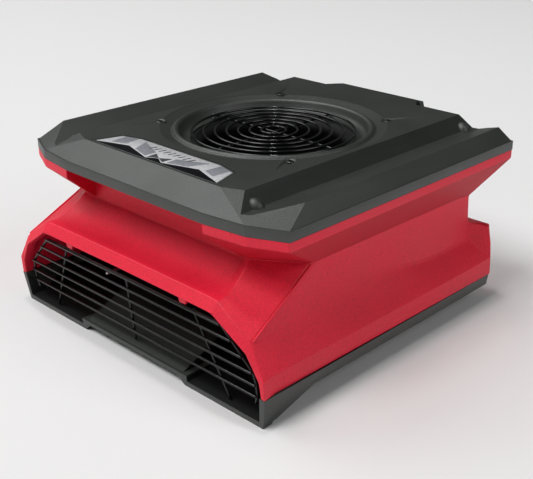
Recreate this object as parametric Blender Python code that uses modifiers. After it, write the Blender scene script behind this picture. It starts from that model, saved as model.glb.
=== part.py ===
"""Low-profile radial air mover, built as separate pieces.

Sizes are in millimetres. Places are given from the middle of the outlet sill
on the floor: x to the right, y from the outlet towards the rear, z up. The
function at() turns a place into the model frame: metres, outlet facing -Y,
origin at the bottom centre of the whole object's box.
"""
import math

import bmesh
import bpy
from mathutils import Matrix, Vector

# Driving dimensions
MM = 0.001
MOUTH_FRONT = -10.6          # foremost edge of the outlet rim
HANDLE_REAR = 431.0          # rearmost face of the carry handle
CENTRE_Y = (MOUTH_FRONT + HANDLE_REAR) / 2
TOP_Z = 220.6                # stacking plateau of the cover
PAD_Z = TOP_Z - 2.2          # seats of the four cover screws, at the bottom of their dimples
EDGE_Z = 201.0               # top of the cover's upright edge
SPLIT_Z = 189.7              # cover sits on the body here
BAND_Z = 179.7               # bottom of the body's upper band
WAIST_Z = 142.4
CREASE_Z = 57.5              # start of the body's upright lower band
TRAY_Z = 36.4                # body sits on the tray here
GAP = 0.3                    # clearance between pieces that touch
HALF_WIDTH = 208.5
BODY_HALF_WIDTH = 209.0
COVER_REAR = 418.0
WALL = 3.2
SKIN = 2.4                   # wall of the red body
LEDGE = 1.6                  # how far the cover's upright edge stands proud of its slopes
RAIL_Z = 218.3
GROOVE_Z = 206.5
FAN_Y = 226.6
GUARD_Z = 212.7
GUARD_RADIUS = 97.0
RING_STEP = 13.7
WIRE = 1.5                   # wire radius of both grilles
SCREW_CIRCLE = 137.0
DISH_RADIUS = 134.8          # outer edge of the shallow dish round the inlet
SCREW_ANGLES = (-38.4, 49.8, 130.2, 218.4)
# Where the screws' ramps run out on the plateau
POCKET_TIPS = [(118.5, 106.0), (102.5, 359.0), (-102.5, 359.0), (-118.5, 106.0)]
WHEEL_RADIUS = 112.0
EYE_RADIUS = 88.5
BLADES = 9
FLOOR_Z = 25.5               # inside floor of the tray
SKIRT_Z = 22.5               # underside of the tray behind the sill
DECK_Z = 62.0                # underside of the blower housing
REAR_FACE = 396.0            # upright rear face of the body
PANEL_Y = REAR_FACE + GAP
PANEL_FRONT = PANEL_Y + 3.0
DEVICE_Z = 69.0

COVER_OUTLINE = [(113.8, 9.1), (167.1, 16.0), (HALF_WIDTH, 34.3), (HALF_WIDTH, COVER_REAR)]
PLATEAU = [(112.2, 36.4), (136.8, 46.5), (135.8, 409.0)]
LABEL = [(-104.0, 39.5), (-92.0, 76.0), (-63.0, 83.0), (63.0, 83.0), (92.0, 76.0), (104.0, 39.5)]
RAIL = [(198.0, 66.2), (195.5, 404.0)]
STOP_FOOT = (150.0, 205.5)   # x and z of a stacking stop's wide end, and of its tip
STOP_TIP = (146.0, 211.5)
STOP_RADIUS = 8.0            # a stop is a dome this wide, and this far from its foot to its tip
STOP_REACH = 10.5

FINISHES = {
    "charcoal_plastic": ((0.052, 0.060, 0.054), 0.55, 0.0),
    "red_plastic": ((0.72, 0.012, 0.030), 0.45, 0.0),
    "black_plastic": ((0.010, 0.010, 0.011), 0.40, 0.0),
    "black_wire": ((0.012, 0.013, 0.013), 0.28, 0.4),
    "zinc": ((0.62, 0.63, 0.64), 0.30, 1.0),
    "steel": ((0.50, 0.51, 0.52), 0.28, 1.0),
    "aluminium": ((0.66, 0.67, 0.68), 0.40, 1.0),
    "motor_black": ((0.013, 0.013, 0.014), 0.45, 0.5),
    "copper": ((0.62, 0.24, 0.10), 0.35, 1.0),
    "lamination": ((0.20, 0.20, 0.21), 0.55, 0.9),
    "rubber": ((0.015, 0.015, 0.015), 0.85, 0.0),
    "label_silver": ((0.62, 0.63, 0.66), 0.35, 0.3),
    "panel_grey": ((0.030, 0.031, 0.032), 0.50, 0.0),
    "ivory": ((0.70, 0.66, 0.55), 0.45, 0.0),
    "lens": ((0.20, 0.23, 0.20), 0.08, 0.0),
    "signal_red": ((0.55, 0.02, 0.02), 0.40, 0.0),
    "signal_amber": ((0.75, 0.35, 0.02), 0.40, 0.0),
}


def at(x, y, z):
    """A place in the model frame, in metres."""
    return Vector((x * MM, (y - CENTRE_Y) * MM, z * MM))


def finish_of(kind):
    """The Principled material of one kind, made the first time it is asked for."""
    found = bpy.data.materials.get(kind)
    if found:
        return found
    colour, roughness, metallic = FINISHES[kind]
    material = bpy.data.materials.new(kind)
    material.use_nodes = True
    shader = material.node_tree.nodes["Principled BSDF"]
    shader.inputs["Base Color"].default_value = (*colour, 1.0)
    shader.inputs["Roughness"].default_value = roughness
    shader.inputs["Metallic"].default_value = metallic
    return material


def collection(name):
    """A collection of the scene, made the first time it is asked for."""
    found = bpy.data.collections.get(name)
    if not found:
        found = bpy.data.collections.new(name)
        bpy.context.scene.collection.children.link(found)
    return found


def place(name, mesh, kind):
    """An object for a mesh: a part when it has a finish, otherwise a cutter."""
    obj = bpy.data.objects.new(name, mesh)
    if kind:
        collection("air_mover").objects.link(obj)
        mesh.materials.clear()
        mesh.materials.append(finish_of(kind))
    else:
        collection("cutters").objects.link(obj)
        obj.hide_render = True
        obj.display_type = "WIRE"
    return obj


def from_bmesh(name, bm, kind):
    bmesh.ops.recalc_face_normals(bm, faces=bm.faces)
    mesh = bpy.data.meshes.new(name)
    bm.to_mesh(mesh)
    bm.free()
    return place(name, mesh, kind)


def add_hull(bm, points):
    """Add the convex solid round some places to a bmesh."""
    verts = [bm.verts.new(at(*point)) for point in points]
    made = bmesh.ops.convex_hull(bm, input=verts)
    spare = [v for v in made["geom_interior"] + made["geom_unused"] if isinstance(v, bmesh.types.BMVert)]
    bmesh.ops.delete(bm, geom=list(set(spare)), context="VERTS")
    bmesh.ops.dissolve_limit(bm, angle_limit=0.0005, verts=bm.verts, edges=bm.edges)


def hull(name, points, kind=None):
    bm = bmesh.new()
    add_hull(bm, points)
    return from_bmesh(name, bm, kind)


def mirrored(points):
    """Places and their mirror images across the middle plane."""
    return [(side * x, y, z) for x, y, z in points for side in (1, -1)]


def add_box(bm, low, high):
    """Add a box between its low and high corners."""
    size = [high[i] - low[i] for i in range(3)]
    middle = [(high[i] + low[i]) / 2 for i in range(3)]
    scale = Matrix.Diagonal((size[0] * MM, size[1] * MM, size[2] * MM, 1.0))
    bmesh.ops.create_cube(bm, size=1.0, matrix=Matrix.Translation(at(*middle)) @ scale)


def boxes(name, pairs, kind=None):
    """One object of separate boxes, each given by its low and high corner."""
    bm = bmesh.new()
    for low, high in pairs:
        add_box(bm, low, high)
    return from_bmesh(name, bm, kind)


def box(name, low, high, kind=None):
    return boxes(name, [(low, high)], kind)


def prism(name, outline, axis, low, high, kind=None):
    """A flat outline extruded along one axis. The outline's pairs are the other two axes."""
    orders = {"X": lambda a, b, c: (c, a, b), "Y": lambda a, b, c: (a, c, b), "Z": lambda a, b, c: (a, b, c)}
    order = orders[axis]
    bm = bmesh.new()
    face = bm.faces.new([bm.verts.new(at(*order(a, b, low))) for a, b in outline])
    made = bmesh.ops.extrude_face_region(bm, geom=[face])
    moved = [v for v in made["geom"] if isinstance(v, bmesh.types.BMVert)]
    first = outline[0]
    shift = at(*order(*first, high)) - at(*order(*first, low))
    bmesh.ops.translate(bm, verts=moved, vec=shift)
    return from_bmesh(name, bm, kind)


def add_rod(bm, start, end, radius, sides, end_radius=None):
    """Add a round bar or cone between two places."""
    first = at(*start)
    last = at(*end)
    along = last - first
    turn = along.to_track_quat("Z", "Y").to_matrix().to_4x4()
    matrix = Matrix.Translation((first + last) / 2) @ turn
    narrow = radius if end_radius is None else end_radius
    bmesh.ops.create_cone(bm, cap_ends=True, segments=sides, radius1=radius * MM, radius2=narrow * MM,
                          depth=along.length, matrix=matrix)


def rods(name, spans, radius, kind=None, sides=16):
    """One object of separate round bars, each given by its two ends."""
    bm = bmesh.new()
    for start, end in spans:
        add_rod(bm, start, end, radius, sides)
    obj = from_bmesh(name, bm, kind)
    smooth(obj)
    return obj


def smooth(obj):
    obj.data.shade_smooth()
    obj.data.set_sharp_from_angle(angle=math.radians(40))


def turned(name, profile, centre, kind=None, steps=48, closed=True):
    """A solid of revolution about the upright axis at centre (x, y).

    The profile's (radius, height) points run down the outer side first.
    """
    bm = bmesh.new()
    verts = [bm.verts.new((r * MM, 0.0, z * MM)) for r, z in profile]
    for first, second in zip(verts, verts[1:]):
        bm.edges.new((first, second))
    if closed:
        bm.edges.new((verts[-1], verts[0]))
    mesh = bpy.data.meshes.new(name)
    bm.to_mesh(mesh)
    bm.free()
    obj = place(name, mesh, kind)
    obj.location = at(*centre, 0.0)
    screw = obj.modifiers.new("turn", "SCREW")
    screw.steps = steps
    screw.render_steps = steps
    screw.use_merge_vertices = True
    screw.merge_threshold = 0.00002
    return obj


def ring(name, inner, outer, low, high, kind=None, steps=48, centre=(0.0, FAN_Y)):
    """A plain round collar."""
    return turned(name, [(outer, high), (outer, low), (inner, low), (inner, high)], centre, kind, steps)


def disc(name, outer, low, high, kind=None, steps=48, centre=(0.0, FAN_Y)):
    """A plain round plug."""
    profile = [(0.0, high), (outer, high), (outer, low), (0.0, low)]
    return turned(name, profile, centre, kind, steps, closed=False)


def boolean(obj, other, operation):
    modifier = obj.modifiers.new(operation.lower(), "BOOLEAN")
    modifier.object = other
    modifier.operation = operation
    modifier.solver = "EXACT"


def cut(obj, *others):
    for other in others:
        boolean(obj, other, "DIFFERENCE")


def join(obj, *others):
    for other in others:
        boolean(obj, other, "UNION")


def move_origin(obj, x, y, z):
    """Put an object's origin on its joint without moving its mesh."""
    shift = at(x, y, z) - obj.location
    obj.data.transform(Matrix.Translation(-shift))
    obj.location = at(x, y, z)


def polar(radius, degrees, z=0.0):
    """A place at an angle from +x round the fan's axis."""
    angle = math.radians(degrees)
    return (radius * math.cos(angle), FAN_Y + radius * math.sin(angle), z)


def wire(name, route, radius, kind=None):
    """A bent wire through a list of places, as a closed mesh."""
    curve = bpy.data.curves.new(name, "CURVE")
    curve.dimensions = "3D"
    curve.bevel_depth = radius * MM
    curve.bevel_resolution = 2
    curve.use_fill_caps = True
    spline = curve.splines.new("POLY")
    spline.points.add(len(route) - 1)
    for point, spot in zip(spline.points, route):
        point.co = (*at(*spot), 1.0)
    holder = bpy.data.objects.new(name + "_curve", curve)
    bpy.context.scene.collection.objects.link(holder)
    bpy.context.view_layer.update()
    depsgraph = bpy.context.evaluated_depsgraph_get()
    mesh = bpy.data.meshes.new_from_object(holder.evaluated_get(depsgraph))
    bpy.data.objects.remove(holder)
    bm = bmesh.new()
    bm.from_mesh(mesh)
    bmesh.ops.remove_doubles(bm, verts=bm.verts, dist=0.000005)
    bm.to_mesh(mesh)
    bm.free()
    return place(name, mesh, kind)


# ---------------------------------------------------------------- covers

def cover_screw_places(z):
    return [polar(SCREW_CIRCLE, degrees, z) for degrees in SCREW_ANGLES]


def groove_prisms(name, sink):
    """The two long V grooves that a stacked machine's runners sit in, sunk by a wall when asked."""
    bottom = GROOVE_Z - sink
    edge = TOP_Z - sink
    outline = [(136.0, edge + 0.7), (153.5, bottom), (163.0, bottom + 0.5), (200.0, RAIL_Z + 0.9 - sink),
               (200.0, 240.0), (136.0, 240.0)]
    right = prism(name + "_right", outline, "Y", -30.0, 460.0)
    left = prism(name + "_left", [(-x, z) for x, z in outline], "Y", -30.0, 460.0)
    return right, left


def cover_shape(name, inset, low, ledge, kind=None):
    """The cover's form with its slopes set back by the ledge, or its hollow when inset by the wall."""
    points = []
    edge = inset + ledge
    for outline, z, pull in ((COVER_OUTLINE, low, edge), (COVER_OUTLINE, EDGE_Z - 0.4 * inset, edge),
                             (RAIL, RAIL_Z - inset, inset), (PLATEAU, TOP_Z - inset, 0.6 * inset)):
        for x, y in outline:
            rearward = pull if y < 200 else -pull
            points.append((x - pull, y + rearward, z))
    return hull(name, mirrored(points), kind)


def make_top_cover():
    low = SPLIT_Z + GAP
    cover = cover_shape("top_cover", 0.0, low, LEDGE, "charcoal_plastic")
    band = hull("cover_edge_band", mirrored([(x, y, z) for x, y in COVER_OUTLINE for z in (low, EDGE_Z)]))
    bump = hull("cover_bump", mirrored([(77.5, 400.0, TOP_Z), (62.0, 424.6, TOP_Z),
                                        (77.5, 400.0, TOP_Z - 3.4), (62.6, 424.6, TOP_Z - 3.4)]))
    hollow = cover_shape("cover_hollow", WALL, SPLIT_Z - 20.0, 0.0)
    cut(hollow, *groove_prisms("cover_wall_groove", WALL))
    join(cover, band)
    cut(cover, *groove_prisms("cover_groove", 0.0), hollow)
    join(cover, bump)
    opening = disc("cover_opening", DISH_RADIUS - 0.8, 190.0, 240.0, steps=56)
    surround = turned("inlet_surround", [
        (DISH_RADIUS, TOP_Z), (DISH_RADIUS, TOP_Z - WALL), (121.0, 212.8), (114.0, 211.5),
        (107.0, 204.2), (98.6, 204.2), (98.6, 205.4), (106.0, 206.4), (109.4, 209.4), (111.2, 213.6),
        (112.4, 217.4), (114.4, 219.2), (116.6, 219.6), (118.6, 218.9), (120.8, 216.4)],
        (0.0, FAN_Y), steps=56)
    places = cover_screw_places(0.0)
    pads = rods("cover_pads", [((x, y, 212.0), (x, y, TOP_Z - 0.1)) for x, y, z in places], 8.0)
    holes = rods("cover_screw_holes", [((x, y, 190.0), (x, y, 240.0)) for x, y, z in places], 2.5, sides=12)
    recess = prism("label_recess", [(x * 1.004, y + (GAP if y > 60.0 else -GAP)) for x, y in LABEL], "Z",
                   TOP_Z - 0.9, TOP_Z + 1.0)
    cut(cover, opening)
    join(cover, surround, pads)
    cut(cover, screw_pockets(), holes, recess)
    join(cover, stacking_stops())


def screw_pockets():
    """Round seats sunk in the plateau, each with a ramp that runs out away from the inlet."""
    bm = bmesh.new()
    for (x, y, z), (tip_x, tip_y) in zip(cover_screw_places(0.0), POCKET_TIPS):
        points = [(tip_x, tip_y, TOP_Z + 0.05), (tip_x, tip_y, TOP_Z + 0.8)]
        for step in range(16):
            angle = math.tau * step / 16
            for radius, height in ((4.9, PAD_Z), (7.6, TOP_Z + 0.8)):
                points.append((x + radius * math.cos(angle), y + radius * math.sin(angle), height))
        add_hull(bm, points)
    return from_bmesh("screw_pockets", bm, None)


def stacking_stops():
    """Blunt domes near the ends of both grooves, leaning down their inner slopes."""
    bm = bmesh.new()
    for side in (1, -1):
        for y, lean in ((49.0, -1.5), (399.0, 1.5)):
            foot = at(side * STOP_FOOT[0], y, STOP_FOOT[1])
            tip = at(side * STOP_TIP[0], y + lean, STOP_TIP[1])
            turn = (tip - foot).to_track_quat("Z", "Y").to_matrix().to_4x4()
            scale = Matrix.Diagonal((STOP_RADIUS * MM, STOP_RADIUS * MM, STOP_REACH * MM, 1.0))
            bmesh.ops.create_uvsphere(bm, u_segments=20, v_segments=12, radius=1.0,
                                      matrix=Matrix.Translation(foot) @ turn @ scale)
    return from_bmesh("stacking_stops", bm, None)


SWEEP = 6                    # steps of the hollow sweep from the waist to the outlet's rim
WAIST_FRONT = 94.0           # where the side's waist starts, and its half width there
WAIST_HALF_FRONT = 184.0
WAIST_REAR = 345.0           # where the side's waist ends, and its half width there
WAIST_HALF_REAR = 187.0
RIM_OUTER = [(0.0, -2.0, 123.4), (134.0, -1.4, 122.2), (146.4, -2.2, 121.8), (192.4, -2.0, 91.0),
             (198.8, -2.9, 79.8), (205.1, -3.7, 68.7), (211.5, -4.6, CREASE_Z), (211.7, -3.6, TRAY_Z + GAP)]
# How far out the side stands at each height near the rear
REAR_WALL = [(0.0, 134.0), (0.0, 127.0), (0.0, 119.0), (0.0, 111.0), (0.3, 98.0), (1.0, 83.0), (8.0, 74.0),
             (15.0, 65.5)]


def body_columns():
    """Columns of the red body's skin from front centre round to rear centre, top to bottom.

    Each starts at the cover, then goes by the upper band and the waist down a
    hollow sweep to the outlet's rim, or past it to the tray joint.
    """
    recess_y = 54.2
    waist_front = [(0.0, recess_y, WAIST_Z), (124.2, recess_y, WAIST_Z), (124.2, recess_y, WAIST_Z),
                   (138.6, 48.9, 147.6)]
    upper = [(0.0, recess_y), (124.2, recess_y), COVER_OUTLINE[0], COVER_OUTLINE[1]]
    rims = [RIM_OUTER[0], RIM_OUTER[1], RIM_OUTER[1], RIM_OUTER[2]]
    columns = []
    for (x, y), waist, rim, sag in zip(upper, waist_front, rims, (9.0, 9.0, 9.0, 8.0)):
        column = [Vector((x, y, SPLIT_Z)), Vector((x, y, BAND_Z)), Vector(waist)]
        columns.append(column + sagging(Vector(waist), Vector(rim), sag) + [Vector(rim)])
    x, y = COVER_OUTLINE[2]
    waist = Vector((WAIST_HALF_FRONT, WAIST_FRONT, WAIST_Z))
    shoulder = Vector(RIM_OUTER[3])
    foot = [Vector(spot) for spot in RIM_OUTER[4:]]
    columns.append([Vector((x, y, SPLIT_Z)), Vector((x, y, BAND_Z)), waist]
                   + sagging(waist, shoulder, 0.0) + [shoulder] + foot)
    for y in (30.0, 75.0, 125.0, 175.0, 225.0, 270.0, 310.0, WAIST_REAR):
        columns.append(side_column(y))
    columns += rear_columns()
    return columns


def sagging(start, end, sag):
    """Places along a hollow curve between two others, dropped by the sag at its middle."""
    places = []
    for step in range(1, SWEEP):
        along = step / SWEEP
        drop = 4.0 * sag * along * (1.0 - along)
        places.append(start.lerp(end, along) - Vector((0.0, 0.0, drop)))
    return places


def side_column(y):
    """One section of the side: a hollow sweep at the front that sharpens to a wall at the rear."""
    rearward = (y - RIM_OUTER[-2][1]) / (WAIST_REAR - RIM_OUTER[-2][1])
    waist_y = WAIST_FRONT + (WAIST_REAR - WAIST_FRONT) * rearward
    waist_x = WAIST_HALF_FRONT + (WAIST_HALF_REAR - WAIST_HALF_FRONT) * rearward
    waist = Vector((waist_x, waist_y, WAIST_Z))
    low = Vector((BODY_HALF_WIDTH, y, CREASE_Z))
    pull = Vector((waist_x, (waist_y + y) / 2, 84.0))
    blend = min(1.0, max(0.0, (y - 100.0) / 200.0))
    steps = [step / (2 * SWEEP) for step in range(1, SWEEP + 1)] + [2 / 3, 5 / 6]
    places = []
    for step, (out, z) in zip(steps, REAR_WALL):
        curve = waist * (1 - step) ** 2 + pull * (2 * step * (1 - step)) + low * step ** 2
        wall = Vector((WAIST_HALF_REAR + out, waist_y + (y - waist_y) * step, z))
        places.append(curve.lerp(wall, blend))
    top_y = max(y, COVER_OUTLINE[2][1])
    band = [Vector((HALF_WIDTH, top_y, SPLIT_Z)), Vector((HALF_WIDTH, top_y, BAND_Z))]
    return band + [waist] + places + [low, Vector((BODY_HALF_WIDTH, y, TRAY_Z + GAP))]


def rear_columns():
    """The rear corner, the block that stands out below it, and the rear centre."""
    foot = TRAY_Z + GAP
    corner = [(HALF_WIDTH, COVER_REAR, SPLIT_Z), (HALF_WIDTH, COVER_REAR, BAND_Z),
              (WAIST_HALF_REAR, 367.0, 140.0)]
    inset = [(WAIST_HALF_REAR + out, 367.0 + (136.0 - z) / 15.0, z) for out, z in REAR_WALL]
    wall = corner + inset[:-2] + [(195.0, 376.0, 74.0), (202.0, 383.0, 65.5),
                                  (BODY_HALF_WIDTH, 388.0, CREASE_Z + 1.5), (BODY_HALF_WIDTH, 390.0, foot)]
    block = corner + inset[:4] + [(205.5, 387.0, 99.0), (207.0, 388.7, 88.0), (208.0, 390.0, 78.0),
                                  (208.6, 391.0, 67.0), (BODY_HALF_WIDTH, 391.5, CREASE_Z + 1.5),
                                  (BODY_HALF_WIDTH, 393.0, foot)]
    levels = (99.0, 88.0, 78.0, 67.0, CREASE_Z + 1.5, foot)
    widths = (200.0, 201.5, 203.0, 203.0, 203.0, 203.0)
    face = corner + inset[:4] + [(x, REAR_FACE, z) for x, z in zip(widths, levels)]
    centre = [(0.0, y, z) for x, y, z in face]
    return [[Vector(spot) for spot in column] for column in (wall, block, face, centre)]


def outlet_rim():
    """Edges of the outlet's bevelled rim: outer, inner and a short return into the duct."""
    inner = [(0.0, -9.6, 110.6), (134.0, -10.2, 110.2), (145.2, MOUTH_FRONT, 109.8), (189.0, -6.8, 80.6),
             (194.1, -6.1, 71.9), (199.3, -5.5, 63.2), (204.4, -4.8, 54.5), (205.6, -3.0, TRAY_Z + GAP)]
    back = [(x, y + 13.0, z) for x, y, z in inner]
    return [[Vector(spot) for spot in edge] for edge in (RIM_OUTER, inner, back)]


def add_strip(bm, first, second):
    """Faces between two lists of places, leaving out corners that coincide."""
    for (a, b), (c, d) in zip(zip(first, first[1:]), zip(second, second[1:])):
        corners = []
        for spot in (a, b, d, c):
            if not any((spot - other).length < 0.01 for other in corners):
                corners.append(spot)
        if len(corners) > 2:
            bm.faces.new([bm.verts.new(at(*spot)) for spot in corners])


def make_upper_body():
    bm = bmesh.new()
    columns = body_columns()
    for first, second in zip(columns, columns[1:]):
        count = min(len(first), len(second))
        add_strip(bm, first[:count], second[:count])
    outer, inner, back = outlet_rim()
    add_strip(bm, outer, inner)
    add_strip(bm, inner, back)
    bmesh.ops.remove_doubles(bm, verts=bm.verts, dist=0.00002)
    body = from_bmesh("upper_body", bm, "red_plastic")
    mirror = body.modifiers.new("mirror", "MIRROR")
    mirror.merge_threshold = 0.00005
    shell = body.modifiers.new("shell", "SOLIDIFY")
    shell.thickness = SKIN * MM
    shell.offset = -1.0
    shell.use_even_offset = True
    return body


def panel_opening():
    return box("panel_opening", (-108.0, 385.0, 49.0), (108.0, 402.0, 89.0))


def panel_screw_places(y):
    return [(side * 113.0, y, z) for side in (1, -1) for z in (47.0, 91.0)]


def finish_upper_body(body):
    """Cut the control panel's opening and add the tabs that hold the outlet grille."""
    holes = rods("panel_body_holes", [(spot, (spot[0], spot[1] + 12.0, spot[2]))
                                      for spot in panel_screw_places(390.0)], 1.9, sides=12)
    cut(body, panel_opening(), holes)
    for side, name in ((1, "right"), (-1, "left")):
        outline = [(side * x, z) for x, z in ((91.0, 112.0), (105.0, 112.0), (102.8, 103.4), (93.2, 103.4))]
        join(body, prism("grille_tab_" + name, outline, "Y", -6.6, -3.4))


# ------------------------------------------------------------------ tray

POSTS = [(150.0, 150.0), (-150.0, 150.0), (112.0, 322.0), (-112.0, 322.0)]
FEET = [(158.0, 360.0), (-158.0, 360.0)]
CHANNEL_IN = 92.0            # inner side of the floor channels either side of the ramp
RAMP_HALF_WIDTH = 82.0
RAMP_TOP = (112.0, DECK_Z - 1.0)


def make_base_tray():
    tray = hull("base_tray", mirrored([
        (205.4, 0.0, 0.0), (205.2, 12.4, 0.0), (211.6, -3.6, TRAY_Z), (211.6, 11.0, TRAY_Z),
        (206.0, 20.0, SKIRT_Z - 8.0), (BODY_HALF_WIDTH, 20.0, TRAY_Z), (BODY_HALF_WIDTH, 390.0, TRAY_Z),
        (203.5, REAR_FACE, TRAY_Z), (206.0, 389.0, SKIRT_Z - 8.0), (201.0, 394.0, SKIRT_Z - 8.0)]),
        "charcoal_plastic")
    under = prism("tray_under", [(12.4, -20.0), (12.4, 0.0), (14.2, 3.6), (18.8, 3.7), (71.0, SKIRT_Z),
                                 (430.0, SKIRT_Z), (430.0, -20.0)], "X", -230.0, 230.0)
    arch = prism("tray_arch", [(-RAMP_HALF_WIDTH + 3.0, 8.4), (-91.6, -3.0), (91.6, -3.0),
                               (RAMP_HALF_WIDTH - 3.0, 8.4)], "Y", -30.0, 30.0)
    hollow = hull("tray_hollow", mirrored([
        (202.4, 72.0, FLOOR_Z), (205.6, 24.0, TRAY_Z + 12.0), (202.4, 386.0, FLOOR_Z),
        (205.6, 388.0, TRAY_Z + 12.0), (199.0, 391.0, FLOOR_Z), (200.0, 393.0, TRAY_Z + 12.0)]))
    cut(tray, under, hollow)
    for side in (1, -1):
        cut(tray, hull("tray_channel_" + ("right" if side > 0 else "left"), [
            (side * x, y, z) for x, y, z in (
                (CHANNEL_IN + 1.0, -15.0, 6.0), (201.0, -15.0, 6.0),
                (CHANNEL_IN + 1.0, 22.0, 7.4), (201.5, 22.0, 7.4),
                (CHANNEL_IN + 1.0, 80.0, FLOOR_Z + 0.5), (201.5, 80.0, FLOOR_Z + 0.5),
                (CHANNEL_IN + 1.0, -15.0, 50.0), (205.6, -15.0, 50.0),
                (CHANNEL_IN + 1.0, 80.0, 50.0), (205.6, 80.0, 50.0))]))
    middle = prism("tray_mouth", [(-15.0, 13.6), (36.0, 13.6), (76.0, FLOOR_Z + 1.0), (76.0, 50.0),
                                  (-15.0, 50.0)], "X", -CHANNEL_IN - 2.0, CHANNEL_IN + 2.0)
    cut(tray, middle, arch)
    ramp = prism("tray_ramp", [(2.0, 9.0), (2.0, 14.0), RAMP_TOP, (RAMP_TOP[0] + 4.0, RAMP_TOP[1] - 2.0),
                               (11.0, 10.6)], "X", -RAMP_HALF_WIDTH, RAMP_HALF_WIDTH)
    join(tray, ramp)
    for side in (1, -1):
        edge = side * (RAMP_HALF_WIDTH + 1.2)
        join(tray, prism("ramp_side_" + ("right" if side > 0 else "left"), [
            (2.0, 8.8), (2.0, 14.0), (RAMP_TOP[0], RAMP_TOP[1] - 0.4), (RAMP_TOP[0], 24.0), (71.0, 24.0),
            (20.0, 8.0)], "X", edge - 1.6, edge + 1.6))
    join(tray, rods("tray_posts", [((x, y, 24.0), (x, y, DECK_Z - GAP)) for x, y in POSTS], 7.5))
    screw_holes = [((x, y, 10.0), (x, y, 80.0)) for x, y in POSTS]
    foot_holes = [((x, y, 10.0), (x, y, 40.0)) for x, y in FEET]
    cut(tray, rods("tray_screw_holes", screw_holes + foot_holes, 2.6, sides=12))


def make_feet():
    for side, (x, y) in zip(("right", "left"), FEET):
        foot = rods("rear_foot_" + side, [((x, y, 0.0), (x, y, SKIRT_Z - GAP))], 15.0, "rubber", sides=24)
        join(foot, rods("foot_peg_" + side, [((x, y, SKIRT_Z - 2.0), (x, y, FLOOR_Z + 4.0))], 2.2, sides=12))


# --------------------------------------------------------------- grilles

def mouth_plane_y(z):
    """The outlet grille leans forward with the mouth."""
    return 5.4 - 0.1 * z


def make_outlet_grille():
    rows = [(193.5, 31.0), (193.7, 44.2), (190.6, 57.6), (177.4, 71.0), (163.9, 84.4), (150.2, 97.8)]
    bars = []
    for half, z in rows:
        bars.append(((-half, mouth_plane_y(z), z), (half, mouth_plane_y(z), z)))
    frame = wire("outlet_grille", [
        (side * x, mouth_plane_y(z) + 2.4, z) for side, x, z in (
            (-1, 190.0, 21.0), (-1, 193.6, 31.0), (-1, 193.7, 44.2), (-1, 190.6, 57.6), (-1, 150.0, 98.0),
            (1, 150.0, 98.0), (1, 190.6, 57.6), (1, 193.7, 44.2), (1, 193.6, 31.0), (1, 190.0, 21.0))],
        WIRE, "black_wire")
    uprights = []
    for top, bottom in ((-110.0, -152.0), (0.0, 0.0), (110.0, 152.0)):
        end_z = 19.0 if top == 0.0 else 8.5
        uprights.append(((top, mouth_plane_y(99.5) + 2.4, 99.5), (bottom, mouth_plane_y(end_z) + 2.4, end_z)))
    join(frame, rods("grille_bars", bars, WIRE, sides=8), rods("grille_uprights", uprights, WIRE, sides=8))


def make_grille_stay():
    """A bent rod from the duct's roof that the middle of the grille rests against."""
    x = -40.0
    wire("grille_stay", [(x, 23.0, 119.4), (x, 23.0, 91.0), (x, 20.5, 88.5), (x, 1.5, 88.5)], 1.8, "zinc")


def make_inlet_guard():
    spokes = [(polar(GUARD_RADIUS + 1.0, degrees, z), polar(GUARD_RADIUS + 1.0, degrees + 180.0, z))
              for degrees, z in ((0.0, GUARD_Z - 2.2), (90.0, GUARD_Z - 2.6))]
    guard = rods("inlet_guard", spokes[:1], WIRE, "black_wire", sides=8)
    join(guard, rods("guard_spoke", spokes[1:], WIRE, sides=8))
    for index in range(7):
        radius = GUARD_RADIUS - index * RING_STEP
        steps = 36 if index < 4 else 20
        section = [(radius + WIRE * math.cos(a), GUARD_Z + WIRE * math.sin(a))
                   for a in (math.tau * (0.5 - step) / 6 for step in range(6))]
        circle = turned("guard_ring_%d" % index, section, (0.0, FAN_Y), steps=steps)
        circle.rotation_euler.z = math.pi / steps
        join(guard, circle)


def make_guard_clips():
    """Bent tabs on the guard's spoke ends that hold its outer ring above the surround's floor."""
    outline = [(99.0 + GAP, 212.2), (99.0 + GAP, 210.8), (102.4, 210.8), (102.4, 206.5), (104.2, 206.5),
               (104.2, 212.2)]
    middle = Matrix.Translation(at(0.0, FAN_Y, 0.0))
    for index in range(4):
        clip = prism("guard_clip_%d" % (index + 1), outline, "Y", FAN_Y - 3.0, FAN_Y + 3.0, "zinc")
        clip.data.transform(middle @ Matrix.Rotation(math.radians(90.0 * index), 4, "Z") @ middle.inverted())


# ------------------------------------------------------------ inlet and fan

RING_TOP = 203.8


def make_inlet_ring():
    """Bell-shaped inlet ring under the cover, with bosses for the four cover screws."""
    bell = turned("inlet_ring", [
        (146.0, RING_TOP), (146.0, RING_TOP - 3.0), (98.0, RING_TOP - 3.0), (90.0, 197.0), (87.0, 190.0),
        (87.0, 182.0), (84.6, 182.0), (84.6, 191.0), (88.0, 199.5), (94.0, RING_TOP)], (0.0, FAN_Y),
        "charcoal_plastic", steps=56)
    places = cover_screw_places(0.0)
    bosses = [((x, y, RING_TOP - 1.0), (x, y, 211.7)) for x, y, z in places]
    join(bell, rods("ring_bosses", bosses, 5.0, sides=12))
    cut(bell, rods("ring_screw_holes", [((x, y, 190.0), (x, y, 230.0)) for x, y, z in places], 2.3, sides=12))


def make_cover_screws():
    for index, (x, y, z) in enumerate(cover_screw_places(0.0), 1):
        make_screw("cover_screw_%d" % index, (x, y, PAD_Z + GAP), (0.0, 0.0, 1.0), 4.4, 1.8, 2.0, 20.0)


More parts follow.
